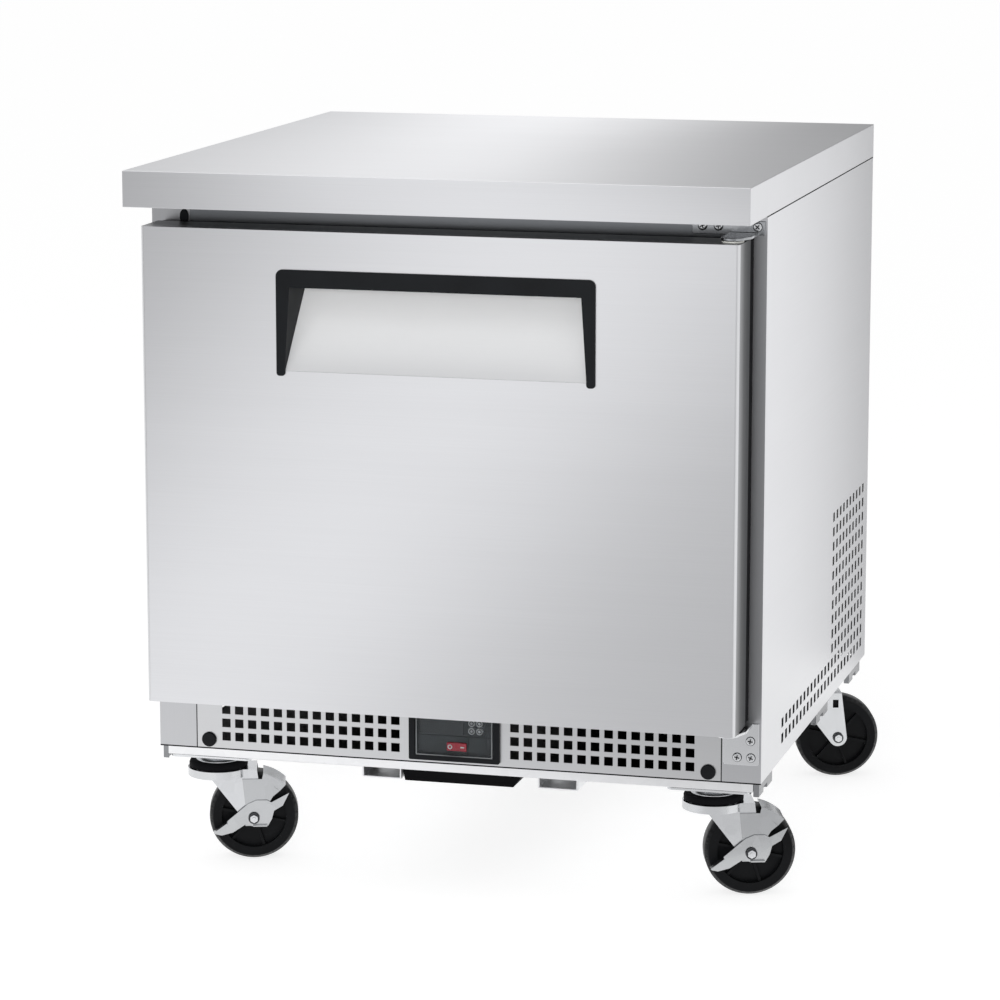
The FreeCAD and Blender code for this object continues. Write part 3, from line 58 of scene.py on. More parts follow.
def grain_group():
    """Rolled and belted sheet: long fine lines, wide soft bands and a trace of cloudy handling marks."""
    tree = bpy.data.node_groups.new("sheet_grain", "ShaderNodeTree")
    face = tree.interface
    lines = face.new_socket("Lines", in_out="INPUT", socket_type="NodeSocketVector")
    lines.default_value = (4.0, 900.0, 900.0)
    bands = face.new_socket("Bands", in_out="INPUT", socket_type="NodeSocketVector")
    bands.default_value = (1.0, 30.0, 30.0)
    face.new_socket("Tone", in_out="OUTPUT", socket_type="NodeSocketFloat")
    face.new_socket("Cloud", in_out="OUTPUT", socket_type="NodeSocketFloat")
    face.new_socket("Height", in_out="OUTPUT", socket_type="NodeSocketFloat")
    entry = tree.nodes.new("NodeGroupInput")
    leave = tree.nodes.new("NodeGroupOutput")
    place = add(tree, "ShaderNodeTexCoord")
    fine_at = add(tree, "ShaderNodeVectorMath", operation="MULTIPLY")
    band_at = add(tree, "ShaderNodeVectorMath", operation="MULTIPLY")
    fine = add(tree, "ShaderNodeTexNoise", {"Scale": 1.0, "Detail": 3.0, "Roughness": 0.6})
    band = add(tree, "ShaderNodeTexNoise", {"Scale": 1.0, "Detail": 2.0, "Roughness": 0.5})
    cloud = add(tree, "ShaderNodeTexNoise", {"Scale": 3.5, "Detail": 4.0, "Roughness": 0.55})
    mixed = add(tree, "ShaderNodeMix", {"Factor": 0.4})
    link = tree.links.new
    link(place.outputs["Object"], fine_at.inputs[0])
    link(entry.outputs["Lines"], fine_at.inputs[1])
    link(place.outputs["Object"], band_at.inputs[0])
    link(entry.outputs["Bands"], band_at.inputs[1])
    link(fine_at.outputs[0], fine.inputs["Vector"])
    link(band_at.outputs[0], band.inputs["Vector"])
    link(place.outputs["Object"], cloud.inputs["Vector"])
    link(fine.outputs["Fac"], mixed.inputs["A"])
    link(band.outputs["Fac"], mixed.inputs["B"])
    link(mixed.outputs["Result"], leave.inputs["Tone"])
    link(cloud.outputs["Fac"], leave.inputs["Cloud"])
    link(fine.outputs["Fac"], leave.inputs["Height"])
    return tree


sheet_grain = grain_group()


def surface(name, colour, roughness, metallic=0.0, **shader_values):
    """New material with one Principled shader; returns the material, its tree and the shader."""
    material = bpy.data.materials.new(name)
    material.use_nodes = True
    tree = material.node_tree
    shader = tree.nodes["Principled BSDF"]
    shader.inputs["Base Color"].default_value = (*colour, 1.0)
    shader.inputs["Roughness"].default_value = roughness
    shader.inputs["Metallic"].default_value = metallic
    for key, value in shader_values.items():
        shader.inputs[key.replace("_", " ")].default_value = value
    return material, tree, shader


def span(tree, value, low, high, start=0.3, stop=0.7):
    """Map Range from the middle of a noise to the two ends given; returns its output."""
    remap = add(tree, "ShaderNodeMapRange",
                {"From Min": start, "From Max": stop, "To Min": low, "To Max": high})
    tree.links.new(value, remap.inputs["Value"])
    return remap.outputs["Result"]


def tint(tree, value, dark, light, start=0.3, stop=0.7):
    """Colour that moves between two tones with a value; returns its output."""
    mix = add(tree, "ShaderNodeMix", data_type="RGBA")
    mix.inputs["A"].default_value = (*dark, 1.0)
    mix.inputs["B"].default_value = (*light, 1.0)
    tree.links.new(span(tree, value, 0.0, 1.0, start, stop), mix.inputs["Factor"])
    return mix.outputs["Result"]


def relief(tree, shader, value, depth):
    """Bump of the given depth in metres on the shader."""
    bump = add(tree, "ShaderNodeBump", {"Strength": 1.0, "Distance": depth})
    tree.links.new(value, bump.inputs["Height"])
    tree.links.new(bump.outputs["Normal"], shader.inputs["Normal"])


def on_object(tree, kind, inputs, **settings):
    """Texture that reads the object's own coordinates; returns the node."""
    place = add(tree, "ShaderNodeTexCoord")
    texture = add(tree, kind, inputs, **settings)
    tree.links.new(place.outputs["Object"], texture.inputs["Vector"])
    return texture


line_along = 5.0        # cells per metre of the fine grain lines
line_across = 850.0
band_along = 0.8        # and of the wide soft bands
band_across = 26.0
grain_depth = 0.000001


def brushed_sheet(name, tone, roughness, along, stretch=0.55, turn=0.0):
    """Brushed stainless with its grain along one axis of the object."""
    material, tree, shader = surface(name, tone, roughness, 1.0,
                                     Anisotropic=stretch, Anisotropic_Rotation=turn)
    group = add(tree, "ShaderNodeGroup")
    group.node_tree = sheet_grain
    group.inputs["Lines"].default_value = [line_along if axis == along else line_across for axis in "xyz"]
    group.inputs["Bands"].default_value = [band_along if axis == along else band_across for axis in "xyz"]
    dark = [0.978 * part for part in tone]
    light = [min(1.0, 1.015 * part) for part in tone]
    colour = tint(tree, group.outputs["Tone"], dark, light)
    rough = span(tree, group.outputs["Cloud"], roughness - 0.01, roughness + 0.015)
    tree.links.new(colour, shader.inputs["Base Color"])
    tree.links.new(rough, shader.inputs["Roughness"])
    relief(tree, shader, group.outputs["Height"], grain_depth)
    return material


def paint(node, material):
    """Gives a CAD node its finish."""
    for place in nodes[node].material_slots:
        place.material = material


def pick(piece):
    """Selects one piece alone and makes it the active one."""
    bpy.ops.object.select_all(action="DESELECT")
    piece.select_set(True)
    bpy.context.view_layer.objects.active = piece


def unfolded(node):
    """Own copy of a CAD node's mesh, welded and cleared of the lines between flat triangles."""
    mesh = nodes[node].data.copy()
    piece = bpy.data.objects.new(node + "_finished", mesh)
    bpy.context.scene.collection.objects.link(piece)
    pick(piece)
    bpy.ops.object.mode_set(mode="EDIT")
    bpy.ops.mesh.select_all(action="SELECT")
    bpy.ops.mesh.remove_doubles(threshold=0.00001)
    bpy.ops.mesh.dissolve_limited(angle_limit=math.radians(1.0))
    bpy.ops.mesh.select_all(action="DESELECT")
    bpy.ops.object.mode_set(mode="OBJECT")
    return piece


sharp_edge = math.radians(40.0)
smooth_below = math.radians(35.0)


def soften(piece, radius, steps=2):
    """Rounds the sharp edges of a piece, shades the rest by angle and keeps its flats flat."""
    bevel = piece.modifiers.new("folds", "BEVEL")
    bevel.width = radius
    bevel.segments = steps
    bevel.limit_method = "ANGLE"
    bevel.angle_limit = sharp_edge
    pick(piece)
    bpy.ops.object.modifier_apply(modifier=bevel.name)
    bpy.ops.object.shade_smooth_by_angle(angle=smooth_below)
    flat = piece.modifiers.new("flat", "WEIGHTED_NORMAL")
    flat.keep_sharp = True
    bpy.ops.object.modifier_apply(modifier=flat.name)


def carry(piece, body, slot, *stands_for):
    """Hangs a new piece on the body it rides on and hides the CAD parts it stands for; the slot is not
    used.
    """
    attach(piece, body)
    if stands_for:
        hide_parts(*stands_for)


def wear(piece, body, material, slot, *stands_for):
    """Puts the finish on a new piece and hands it to the body it rides on."""
    piece.data.materials.clear()
    piece.data.materials.append(material)
    carry(piece, body, slot, *stands_for)


def dressed(node, body, material, slot, radius, steps=2):
    """Finished copy of a CAD piece: edges rounded, finish on, riding in its place."""
    piece = unfolded(node)
    soften(piece, radius, steps)
    wear(piece, body, material, slot, node)
    return piece


steel_x = brushed_sheet("stainless_grain_side_to_side", (0.71, 0.715, 0.73), 0.30, "x")
worktop_steel = brushed_sheet("worktop_stainless", (0.70, 0.705, 0.72), 0.29, "x", stretch=0.0)
dressed("worktop", "cabinet", worktop_steel, "brushed", 0.0009, 3)

board_finish, board_tree, board_shader = surface("pressed_board", (0.30, 0.30, 0.31), 0.85)
chips = on_object(board_tree, "ShaderNodeTexVoronoi", {"Scale": 260.0})
board_tree.links.new(tint(board_tree, chips.outputs["Distance"], (0.20, 0.20, 0.21), (0.36, 0.36, 0.37)),
                     board_shader.inputs["Base Color"])
relief(board_tree, board_shader, chips.outputs["Distance"], 0.0003)
paint("worktop_core", board_finish)


# ---------------------------------------------------------------- cabinet
# Stainless side panels whose front edge is folded round into the door post, a stainless face frame, a
# black breaker strip inside it, rigid foam, and a galvanised back, floor pan and channels. The posts
# and the face frame are painted darker as painted shade, and so is the top of the floor pan.

def also_wears(piece, material, where):
    """Second material on the faces of a piece that the test picks; every use below is painted shade, except
    the wheel rims' painted highlight.
    """
    piece.data.materials.append(material)
    for polygon in piece.data.polygons:
        if where(polygon):
            polygon.material_index = 1


steel_y = brushed_sheet("stainless_grain_front_to_back", (0.695, 0.70, 0.715), 0.295, "y", turn=0.25)
# The door posts' front faces take a darker copy of the panels' stainless: painted shade.
post_painted_shade_steel = brushed_sheet("post_stainless_painted_shade", (0.53, 0.535, 0.55), 0.30, "z")
for node in ("side_panel_left", "side_panel_right"):
    panel = dressed(node, "cabinet", steel_y, "brushed", 0.0005)
    also_wears(panel, post_painted_shade_steel, lambda face: face.normal.y < -0.9)
# The face frame takes a much darker copy of the stainless: painted shade under the worktop's overhang.
frame_painted_shade_steel = brushed_sheet("frame_stainless_painted_shade", (0.26, 0.27, 0.285), 0.30, "x")
dressed("face_frame", "cabinet", frame_painted_shade_steel, "brushed", 0.0004)


def zinc_group():
    """Hot-dip zinc: angular crystals of slightly different tone with a fine matt tooth."""
    tree = bpy.data.node_groups.new("zinc_spangle", "ShaderNodeTree")
    face = tree.interface
    size = face.new_socket("Crystals", in_out="INPUT", socket_type="NodeSocketFloat")
    size.default_value = 70.0
    face.new_socket("Spangle", in_out="OUTPUT", socket_type="NodeSocketFloat")
    face.new_socket("Tooth", in_out="OUTPUT", socket_type="NodeSocketFloat")
    entry = tree.nodes.new("NodeGroupInput")
    leave = tree.nodes.new("NodeGroupOutput")
    place = add(tree, "ShaderNodeTexCoord")
    crystal = add(tree, "ShaderNodeTexVoronoi", feature="F1")
    grey = add(tree, "ShaderNodeSeparateColor")
    tooth = add(tree, "ShaderNodeTexNoise", {"Scale": 900.0, "Detail": 2.0})
    link = tree.links.new
    link(place.outputs["Object"], crystal.inputs["Vector"])
    link(entry.outputs["Crystals"], crystal.inputs["Scale"])
    link(crystal.outputs["Color"], grey.inputs["Color"])
    link(place.outputs["Object"], tooth.inputs["Vector"])
    link(grey.outputs["Red"], leave.inputs["Spangle"])
    link(tooth.outputs["Fac"], leave.inputs["Tooth"])
    return tree


zinc_spangle = zinc_group()


def zinc_sheet(name, tone, roughness, crystals, contrast):
    """Zinc surface; large crystals for dipped sheet, small ones for plated parts."""
    material, tree, shader = surface(name, tone, roughness, 1.0)
    group = add(tree, "ShaderNodeGroup")
    group.node_tree = zinc_spangle
    group.inputs["Crystals"].default_value = crystals
    dark = [part * (1 - contrast) for part in tone]
    light = [min(1.0, part * (1 + contrast)) for part in tone]
    tree.links.new(tint(tree, group.outputs["Spangle"], dark, light, 0.0, 1.0), shader.inputs["Base Color"])
    rough = span(tree, group.outputs["Spangle"], roughness - contrast, roughness + contrast, 0.0, 1.0)
    tree.links.new(rough, shader.inputs["Roughness"])
    relief(tree, shader, group.outputs["Tooth"], 0.000003)
    return material


galvanised = zinc_sheet("galvanised_sheet", (0.86, 0.865, 0.875), 0.36, 90.0, 0.02)
# The pan's large top faces are painted near-black: painted shade behind the grille holes.
pan_painted_shade = zinc_sheet("pan_top_painted_shade", (0.035, 0.036, 0.038), 0.5, 90.0, 0.02)
pan = dressed("base_pan", "cabinet", galvanised, "galvanised", 0.0008)
also_wears(pan, pan_painted_shade, lambda face: face.normal.z > 0.9 and face.area > 0.01)
dressed("base_channels", "cabinet", galvanised, "galvanised", 0.0008)
rear_sheet = zinc_sheet("rear_galvanised", (0.60, 0.605, 0.615), 0.38, 70.0, 0.03)
dressed("back_panel", "cabinet", rear_sheet, "galvanised", 0.0005)
dressed("rear_grille", "cabinet", rear_sheet, "galvanised", 0.0002, 1)
for node in ("condenser_fan_plate", "shelf_supports"):
    paint(node, galvanised)


def moulding_group():
    """Spark-eroded mould texture: a fine even pebble with slow changes of gloss."""
    tree = bpy.data.node_groups.new("moulded_grain", "ShaderNodeTree")
    face = tree.interface
    size = face.new_socket("Pebble", in_out="INPUT", socket_type="NodeSocketFloat")
    size.default_value = 1400.0
    face.new_socket("Gloss", in_out="OUTPUT", socket_type="NodeSocketFloat")
    face.new_socket("Height", in_out="OUTPUT", socket_type="NodeSocketFloat")
    entry = tree.nodes.new("NodeGroupInput")
    leave = tree.nodes.new("NodeGroupOutput")
    place = add(tree, "ShaderNodeTexCoord")
    pebble = add(tree, "ShaderNodeTexNoise", {"Detail": 2.0, "Roughness": 0.6})
    gloss = add(tree, "ShaderNodeTexNoise", {"Scale": 22.0, "Detail": 3.0})
    link = tree.links.new
    link(place.outputs["Object"], pebble.inputs["Vector"])
    link(entry.outputs["Pebble"], pebble.inputs["Scale"])
    link(place.outputs["Object"], gloss.inputs["Vector"])
    link(gloss.outputs["Fac"], leave.inputs["Gloss"])
    link(pebble.outputs["Fac"], leave.inputs["Height"])
    return tree


moulded_grain = moulding_group()


def moulded(name, tone, roughness, pebble, depth, shine=0.14):
    """Moulded plastic or rubber in one colour."""
    material, tree, shader = surface(name, tone, roughness, Specular_IOR_Level=shine)
    group = add(tree, "ShaderNodeGroup")
    group.node_tree = moulded_grain
    group.inputs["Pebble"].default_value = pebble
    dark = [0.8 * part for part in tone]
    light = [min(1.0, 1.25 * part) for part in tone]
    tree.links.new(tint(tree, group.outputs["Gloss"], dark, light), shader.inputs["Base Color"])
    tree.links.new(span(tree, group.outputs["Gloss"], roughness - 0.05, roughness + 0.07),
                   shader.inputs["Roughness"])
    relief(tree, shader, group.outputs["Height"], depth)
    return material


black_plastic = moulded("black_moulded_plastic", (0.006, 0.0068, 0.008), 0.42, 1500.0, 0.00002)
for node in ("breaker_strip", "evaporator_fan_blade", "condenser_fan_blade"):
    paint(node, black_plastic)


def along_axis(tree, axis):
    """Place of a point along one axis of the object; returns the output."""
    place = add(tree, "ShaderNodeTexCoord")
    split = add(tree, "ShaderNodeSeparateXYZ")
    tree.links.new(place.outputs["Object"], split.inputs[0])
    return split.outputs[axis]


foam_finish, foam_tree, foam_shader = surface("rigid_foam", (0.80, 0.72, 0.50), 0.9)
cells = on_object(foam_tree, "ShaderNodeTexVoronoi", {"Scale": 900.0})
foil_line = add(foam_tree, "ShaderNodeMix", data_type="RGBA")
foil_line.inputs["A"].default_value = (0.02, 0.02, 0.022, 1.0)
foam_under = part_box("insulation")[0].z
foam_tree.links.new(span(foam_tree, along_axis(foam_tree, "Z"), 0.0, 1.0,
                         foam_under + 0.0004, foam_under + 0.0008), foil_line.inputs["Factor"])
foam_tree.links.new(tint(foam_tree, cells.outputs["Distance"], (0.70, 0.60, 0.38), (0.84, 0.77, 0.56)),
                    foil_line.inputs["B"])
foam_tree.links.new(foil_line.outputs["Result"], foam_shader.inputs["Base Color"])
relief(foam_tree, foam_shader, cells.outputs["Distance"], 0.0003)
paint("insulation", foam_finish)
paint("door_foam", foam_finish)


# ---------------------------------------------------------------- base front: grille, plugs and seams
# Stainless plate with rows of punched squares on each side of the controller, fixed by screws under
# two domed black caps; a third plug fills the spare hinge hole. Near-black strips along the seams and
# under the worktop's side edges are painted shade in the gaps.

grille_steel = brushed_sheet("grille_stainless", (0.60, 0.605, 0.615), 0.30, "x")
dressed("front_grille", "cabinet", grille_steel, "brushed", 0.00012, 1)


def block(name, low, high):
    """New box between two corners, left selected in object mode."""
    bpy.ops.object.select_all(action="DESELECT")
    middle = [(a + b) / 2 for a, b in zip(low, high)]
    bpy.ops.mesh.primitive_cube_add(size=1.0, location=middle)
    piece = bpy.context.active_object
    piece.name = name
    piece.scale = [b - a for a, b in zip(low, high)]
    bpy.ops.object.transform_apply(location=True, rotation=True, scale=True)
    return piece


def cut_away(piece, *cutters):
    """Takes the cutters out of the piece and removes them."""
    for cutter in cutters:
        cut = piece.modifiers.new("cut", "BOOLEAN")
        cut.object = cutter
        cut.operation = "DIFFERENCE"
        pick(piece)
        bpy.ops.object.modifier_apply(modifier="cut")
        bpy.data.objects.remove(cutter)


def merged(name, *parts):
    """Joins the parts into the first and leaves it selected."""
    bpy.ops.object.select_all(action="DESELECT")
    for part in parts:
        part.select_set(True)
    bpy.context.view_layer.objects.active = parts[0]
    bpy.ops.object.join()
    parts[0].name = name
    return parts[0]


def loose_boxes(node):
    """Lowest and highest corner of each separate solid in a CAD node."""
    piece = unfolded(node)
    bpy.ops.object.mode_set(mode="EDIT")
    bpy.ops.mesh.select_all(action="SELECT")
    bpy.ops.mesh.separate(type="LOOSE")
    bpy.ops.object.mode_set(mode="OBJECT")
    boxes = []
    for part in list(bpy.context.selected_objects):
        corners = [vertex.co for vertex in part.data.vertices]
        low = Vector([min(corner[axis] for corner in corners) for axis in range(3)])
        high = Vector([max(corner[axis] for corner in corners) for axis in range(3)])
        boxes.append((low, high))
        bpy.data.objects.remove(part)
    return boxes


quarter_turn = math.radians(90.0)


def drum(name, radius, depth, middle, sides=48):
    """New cylinder along Y about its middle point."""
    bpy.ops.object.select_all(action="DESELECT")
    bpy.ops.mesh.primitive_cylinder_add(vertices=sides, radius=radius, depth=depth, location=middle,
                                        rotation=(quarter_turn, 0.0, 0.0))
    piece = bpy.context.active_object
    piece.name = name
    bpy.ops.object.transform_apply(location=True, rotation=True, scale=True)
    return piece


plug_boxes = sorted(loose_boxes("black_plugs"), key=lambda found: found[0].z)
plug_stretch = (0.82, 1.0, 1.3)
caps = []
for low, high in plug_boxes[:2]:
    cap = drum("cap", (high.x - low.x) / 2, high.y - low.y, (low + high) / 2)
    soften(cap, 0.0020, 4)
    caps.append(cap)
low, high = plug_boxes[2]
plug = drum("spare_hole_plug", (high.x - low.x) / 2, high.y - low.y, (low + high) / 2)
bpy.ops.object.mode_set(mode="EDIT")
bpy.ops.mesh.select_all(action="SELECT")
bpy.ops.transform.resize(value=plug_stretch, center_override=(low + high) / 2)
bpy.ops.object.mode_set(mode="OBJECT")
soften(plug, 0.0014, 4)
caps = merged("grille_caps", *caps, plug)
wear(caps, "cabinet", black_plastic, "black_plastic", "black_plugs")

panel_low, panel_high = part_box("front_grille")
side_low, side_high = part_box("side_panel_right")
seam_half = 0.0006
seam_shade_depth = 0.001
# These near-black strips along the seams and under the worktop's side edges are painted shade in the gaps.
seam_shade_and_pan_black = moulded("seam_shade_and_pan_black", (0.004, 0.004, 0.0045), 0.6, 900.0, 0.00003, 0.05)
base_seam_shade = block("base_seam_shade", (-side_high.x, panel_low.y - 0.0001, panel_low.z - seam_half),
                  (side_high.x, panel_low.y + seam_shade_depth, panel_low.z + 0.0010))
soften(base_seam_shade, 0.0002)
wear(base_seam_shade, "cabinet", seam_shade_and_pan_black, "black_rubber")
seams = []
for edge in (panel_low.x, panel_high.x):
    seams.append(block("seam", (edge - seam_half, panel_low.y - 0.00015, panel_low.z),
                       (edge + seam_half, panel_low.y + seam_shade_depth, panel_high.z)))
grille_seams = merged("grille_seams", *seams)
soften(grille_seams, 0.00015)
wear(grille_seams, "cabinet", seam_shade_and_pan_black, "black_rubber")
edge_shade_half = 0.00045
edge_shade_x = side_high.x - 0.0004
edge_shade_strips = []
for middle_x in (-edge_shade_x, edge_shade_x):
    edge_shade_strips.append(block("tape", (middle_x - edge_shade_half, side_low.y, side_high.z - 0.0011),
                       (middle_x + edge_shade_half, side_high.y, side_high.z + 0.0001)))
paint("underside_pan", seam_shade_and_pan_black)
worktop_edge_shade = merged("worktop_edge_painted_shade", *edge_shade_strips)
soften(worktop_edge_shade, 0.0001)
wear(worktop_edge_shade, "cabinet", seam_shade_and_pan_black, "black_rubber")


# ---------------------------------------------------------------- controller
# Moulded black frame with a clear hinged cover; behind it a dark face with a display window, four
# grey set buttons with a dark ring, and a red rocker switch with printed marks.

dressed("controller_housing", "cabinet", black_plastic, "black_plastic", 0.0007)
dark_face = moulded("dark_face", (0.034, 0.039, 0.043), 0.35, 1800.0, 0.000008, 0.3)
paint("controller_face", dark_face)
red_plastic = moulded("red_rocker", (0.50, 0.022, 0.045), 0.25, 1800.0, 0.000005, 0.4)
dressed("power_rocker", "body_power_rocker", red_plastic, "red", 0.0008, 3)
button_grey = moulded("grey_button", (0.40, 0.41, 0.415), 0.4, 1800.0, 0.00001, 0.4)
button_dark = moulded("button_well", (0.012, 0.013, 0.014), 0.5, 1800.0, 0.00001)


def flat_ring(name, radius, wire, thickness):
    """Ring round the Y axis at the origin, pressed to a share of its thickness."""
    bpy.ops.object.select_all(action="DESELECT")
    bpy.ops.mesh.primitive_torus_add(major_radius=radius, minor_radius=wire, major_segments=32,
                                     minor_segments=8, rotation=(quarter_turn, 0.0, 0.0))
    ring = bpy.context.active_object
    ring.name = name
    ring.scale = (1.0, 1.0, thickness)
    bpy.ops.object.transform_apply(location=True, rotation=True, scale=True)
    bpy.ops.object.shade_smooth()
    return ring


def placed_copy(pattern, name, place, lean=0.0, turn=0.0):
    """Copy of a part with its own mesh, turned about Y and Z and put in its place."""
    part = pattern.copy()
    part.data = pattern.data.copy()
    part.name = name
    part.location = place
    part.rotation_euler = (0.0, lean, turn)
    bpy.context.scene.collection.objects.link(part)
    pick(part)
    bpy.ops.object.transform_apply(location=True, rotation=True, scale=True)
    return part


button_ring = flat_ring("button_ring", 0.0021, 0.0005, 0.3)
for number in (1, 2, 3, 4):
    name = f"set_button_{number}"
    dressed(name, "body_" + name, button_grey, "grey", 0.0005, 3)
    low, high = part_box(name)
    middle = (low + high) / 2
    dish = placed_copy(button_ring, name + "_ring", (middle.x, low.y, middle.z))
    wear(dish, "body_" + name, button_dark, "grey")
bpy.data.objects.remove(button_ring)

face_low, face_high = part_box("controller_face")
window_stand = 0.0004
window_margin = 0.003
window_low = (face_low.x + window_margin, face_low.y - window_stand, face_low.z + 0.024)
window_high = (face_low.x + 0.0555, face_low.y + window_stand, face_high.z - window_margin)
window = block("display_window", window_low, window_high)
bpy.ops.object.mode_set(mode="EDIT")
bpy.ops.mesh.select_all(action="SELECT")
bpy.ops.mesh.bevel(offset=0.0003, segments=2)
bpy.ops.object.mode_set(mode="OBJECT")
display = moulded("display_window", (0.030, 0.034, 0.037), 0.15, 1800.0, 0.000005, 0.4)
wear(window, "cabinet", display, "face")
groove_y = (face_low.y - 0.0002, face_low.y + 0.0002)
groove_z = (face_low.z + 0.0222, face_low.z + 0.0228)
groove = block("face_groove", (face_low.x + 0.002, groove_y[0], groove_z[0]),
               (face_high.x - 0.004, groove_y[1], groove_z[1]))
post = block("face_post", (face_high.x - 0.0305, groove_y[0], face_low.z + 0.004),
             (face_high.x - 0.0300, groove_y[1], groove_z[0]))
grooves = merged("face_grooves", groove, post)
soften(grooves, 0.00008, 1)
wear(grooves, "cabinet", button_dark, "face")

white_print = moulded("white_print", (0.85, 0.85, 0.85), 0.5, 1800.0, 0.000005)
rocker_low, rocker_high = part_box("power_rocker")
rocker_z = (rocker_low.z + rocker_high.z) / 2
mark_y = rocker_low.y - 0.0001
bar_half = 0.0007
round_mark = flat_ring("round_mark", 0.0021, 0.0006, 0.35)
off_mark = placed_copy(round_mark, "off_mark", (rocker_low.x + 0.0038, mark_y, rocker_z))
bpy.data.objects.remove(round_mark)
on_mark = block("on_bar", (rocker_high.x - 0.0068, mark_y - 0.0001, rocker_z - bar_half),
                (rocker_high.x - 0.0024, mark_y + 0.0002, rocker_z + bar_half))
soften(on_mark, 0.00008)
marks = merged("rocker_marks", off_mark, on_mark)
wear(marks, "body_power_rocker", white_print, "grey")

clear, clear_tree, clear_shader = surface("clear_cover", (0.93, 0.95, 0.96), 0.04)
clear_shader.inputs["Transmission Weight"].default_value = 1.0
clear_shader.inputs["IOR"].default_value = 1.2
ripple = on_object(clear_tree, "ShaderNodeTexNoise", {"Scale": 60.0, "Detail": 2.0})
clear_tree.links.new(span(clear_tree, ripple.outputs["Fac"], 0.02, 0.07), clear_shader.inputs["Roughness"])
dressed("controller_cover", "body_controller_cover", clear, "clear", 0.0004)
cover_low, cover_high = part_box("controller_cover")
rim_left = face_low.x + 0.0012
rim_right = face_high.x - 0.0012
rim_width = 0.0011
# The grey ring round the cover's edge is a painted highlight on its clear edge.
rim = block("cover_rim", (rim_left, cover_low.y + 0.0004, cover_low.z),
            (rim_right, cover_low.y + 0.0012, cover_high.z))
rim_hole = block("rim_hole", (rim_left + rim_width, cover_low.y - 0.001, cover_low.z + rim_width),
                 (rim_right - rim_width, cover_low.y + 0.002, cover_high.z - rim_width))
cut_away(rim, rim_hole)
soften(rim, 0.0002)
cover_rim_painted_highlight = moulded("cover_edge_painted_highlight", (0.17, 0.18, 0.185), 0.3, 1800.0, 0.000005, 0.5)
wear(rim, "body_controller_cover", cover_rim_painted_highlight, "clear")


# ---------------------------------------------------------------- door
# Folded stainless tub with rounded upright edges over rigid foam, a stainless inner pan and a black
# magnetic gasket with an outer lip; it hangs on two pins in nylon bushes. The edge returns are painted
# darker towards the back as painted shade.

door_shell = dressed("door_skin", "door", steel_x, "brushed", 0.0006)
shell_low, shell_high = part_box("door_skin")
# The edge returns are painted shade: a dark copy of the stainless, darker still towards the back.
edge_painted_shade_steel, edge_tree, edge_shader = surface("door_edge_painted_shade", (0.3, 0.3, 0.3), 0.32, 1.0)
edge_grain = add(edge_tree, "ShaderNodeGroup")
edge_grain.node_tree = sheet_grain
edge_shade_front_tone = (0.30, 0.305, 0.315)
edge_shade_back_tone = (0.035, 0.038, 0.040)
edge_tree.links.new(tint(edge_tree, along_axis(edge_tree, "Y"), edge_shade_front_tone, edge_shade_back_tone,
                         shell_low.y + 0.002, shell_low.y + 0.028), edge_shader.inputs["Base Color"])
edge_tree.links.new(span(edge_tree, edge_grain.outputs["Cloud"], 0.29, 0.35),
                    edge_shader.inputs["Roughness"])
relief(edge_tree, edge_shader, edge_grain.outputs["Height"], 0.000006)
corner_end = shell_low.y + 0.0038
also_wears(door_shell, edge_painted_shade_steel,
           lambda face: face.center.y > corner_end and max(abs(face.normal.x), abs(face.normal.z)) > 0.9)
paint("door_inner_panel", steel_x)
rubber = moulded("black_rubber", (0.005, 0.005, 0.006), 0.65, 900.0, 0.00003, 0.05)
dressed("door_gasket", "door", rubber, "black_rubber", 0.0025, 4)
face_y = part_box("face_frame")[0].y
lip_inset = 0.0015
lip_width = 0.0135
lip_out = Vector((shell_high.x - 0.0002, 0.0, shell_high.z - lip_inset))
lip_in = lip_out - Vector((lip_width, 0.0, lip_width))
lip = block("gasket_lip", (-lip_out.x, shell_high.y, shell_low.z + lip_inset),
            (lip_out.x, face_y - 0.002, lip_out.z))
lip_hole = block("lip_hole", (-lip_in.x, shell_high.y - 0.01, shell_low.z + lip_inset + lip_width),
                 (lip_in.x, face_y + 0.01, lip_in.z))
cut_away(lip, lip_hole)
soften(lip, 0.0012, 3)
wear(lip, "door", rubber, "black_rubber")
paint("door_hinge_bushes", moulded("white_nylon", (0.78, 0.78, 0.74), 0.4, 1200.0, 0.00002))


# ---------------------------------------------------------------- handle
# Black moulding set into the door, with a finger space behind its top bar, and a sloping stainless
# plate between its legs, whose foot is lapped by a narrow strip flush with the door. The plate is painted
# darker at its foot and lighter at its top: painted shade and painted light.

dressed("handle_moulding", "door", black_plastic, "black_plastic", 0.0012, 3)
plate_painted_light_steel, plate_tree, plate_shader = surface("pocket_plate_painted_light", (0.80, 0.805, 0.815), 0.48, 0.15)
plate_low, plate_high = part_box("handle_plate")
plate_grain = add(plate_tree, "ShaderNodeGroup")
plate_grain.node_tree = sheet_grain
plate_shade = add(plate_tree, "ShaderNodeMix", data_type="RGBA", blend_type="MULTIPLY")
plate_shade.inputs["Factor"].default_value = 1.0
plate_painted_shade_foot = (0.53, 0.535, 0.545)
plate_painted_light_top = (0.86, 0.865, 0.87)
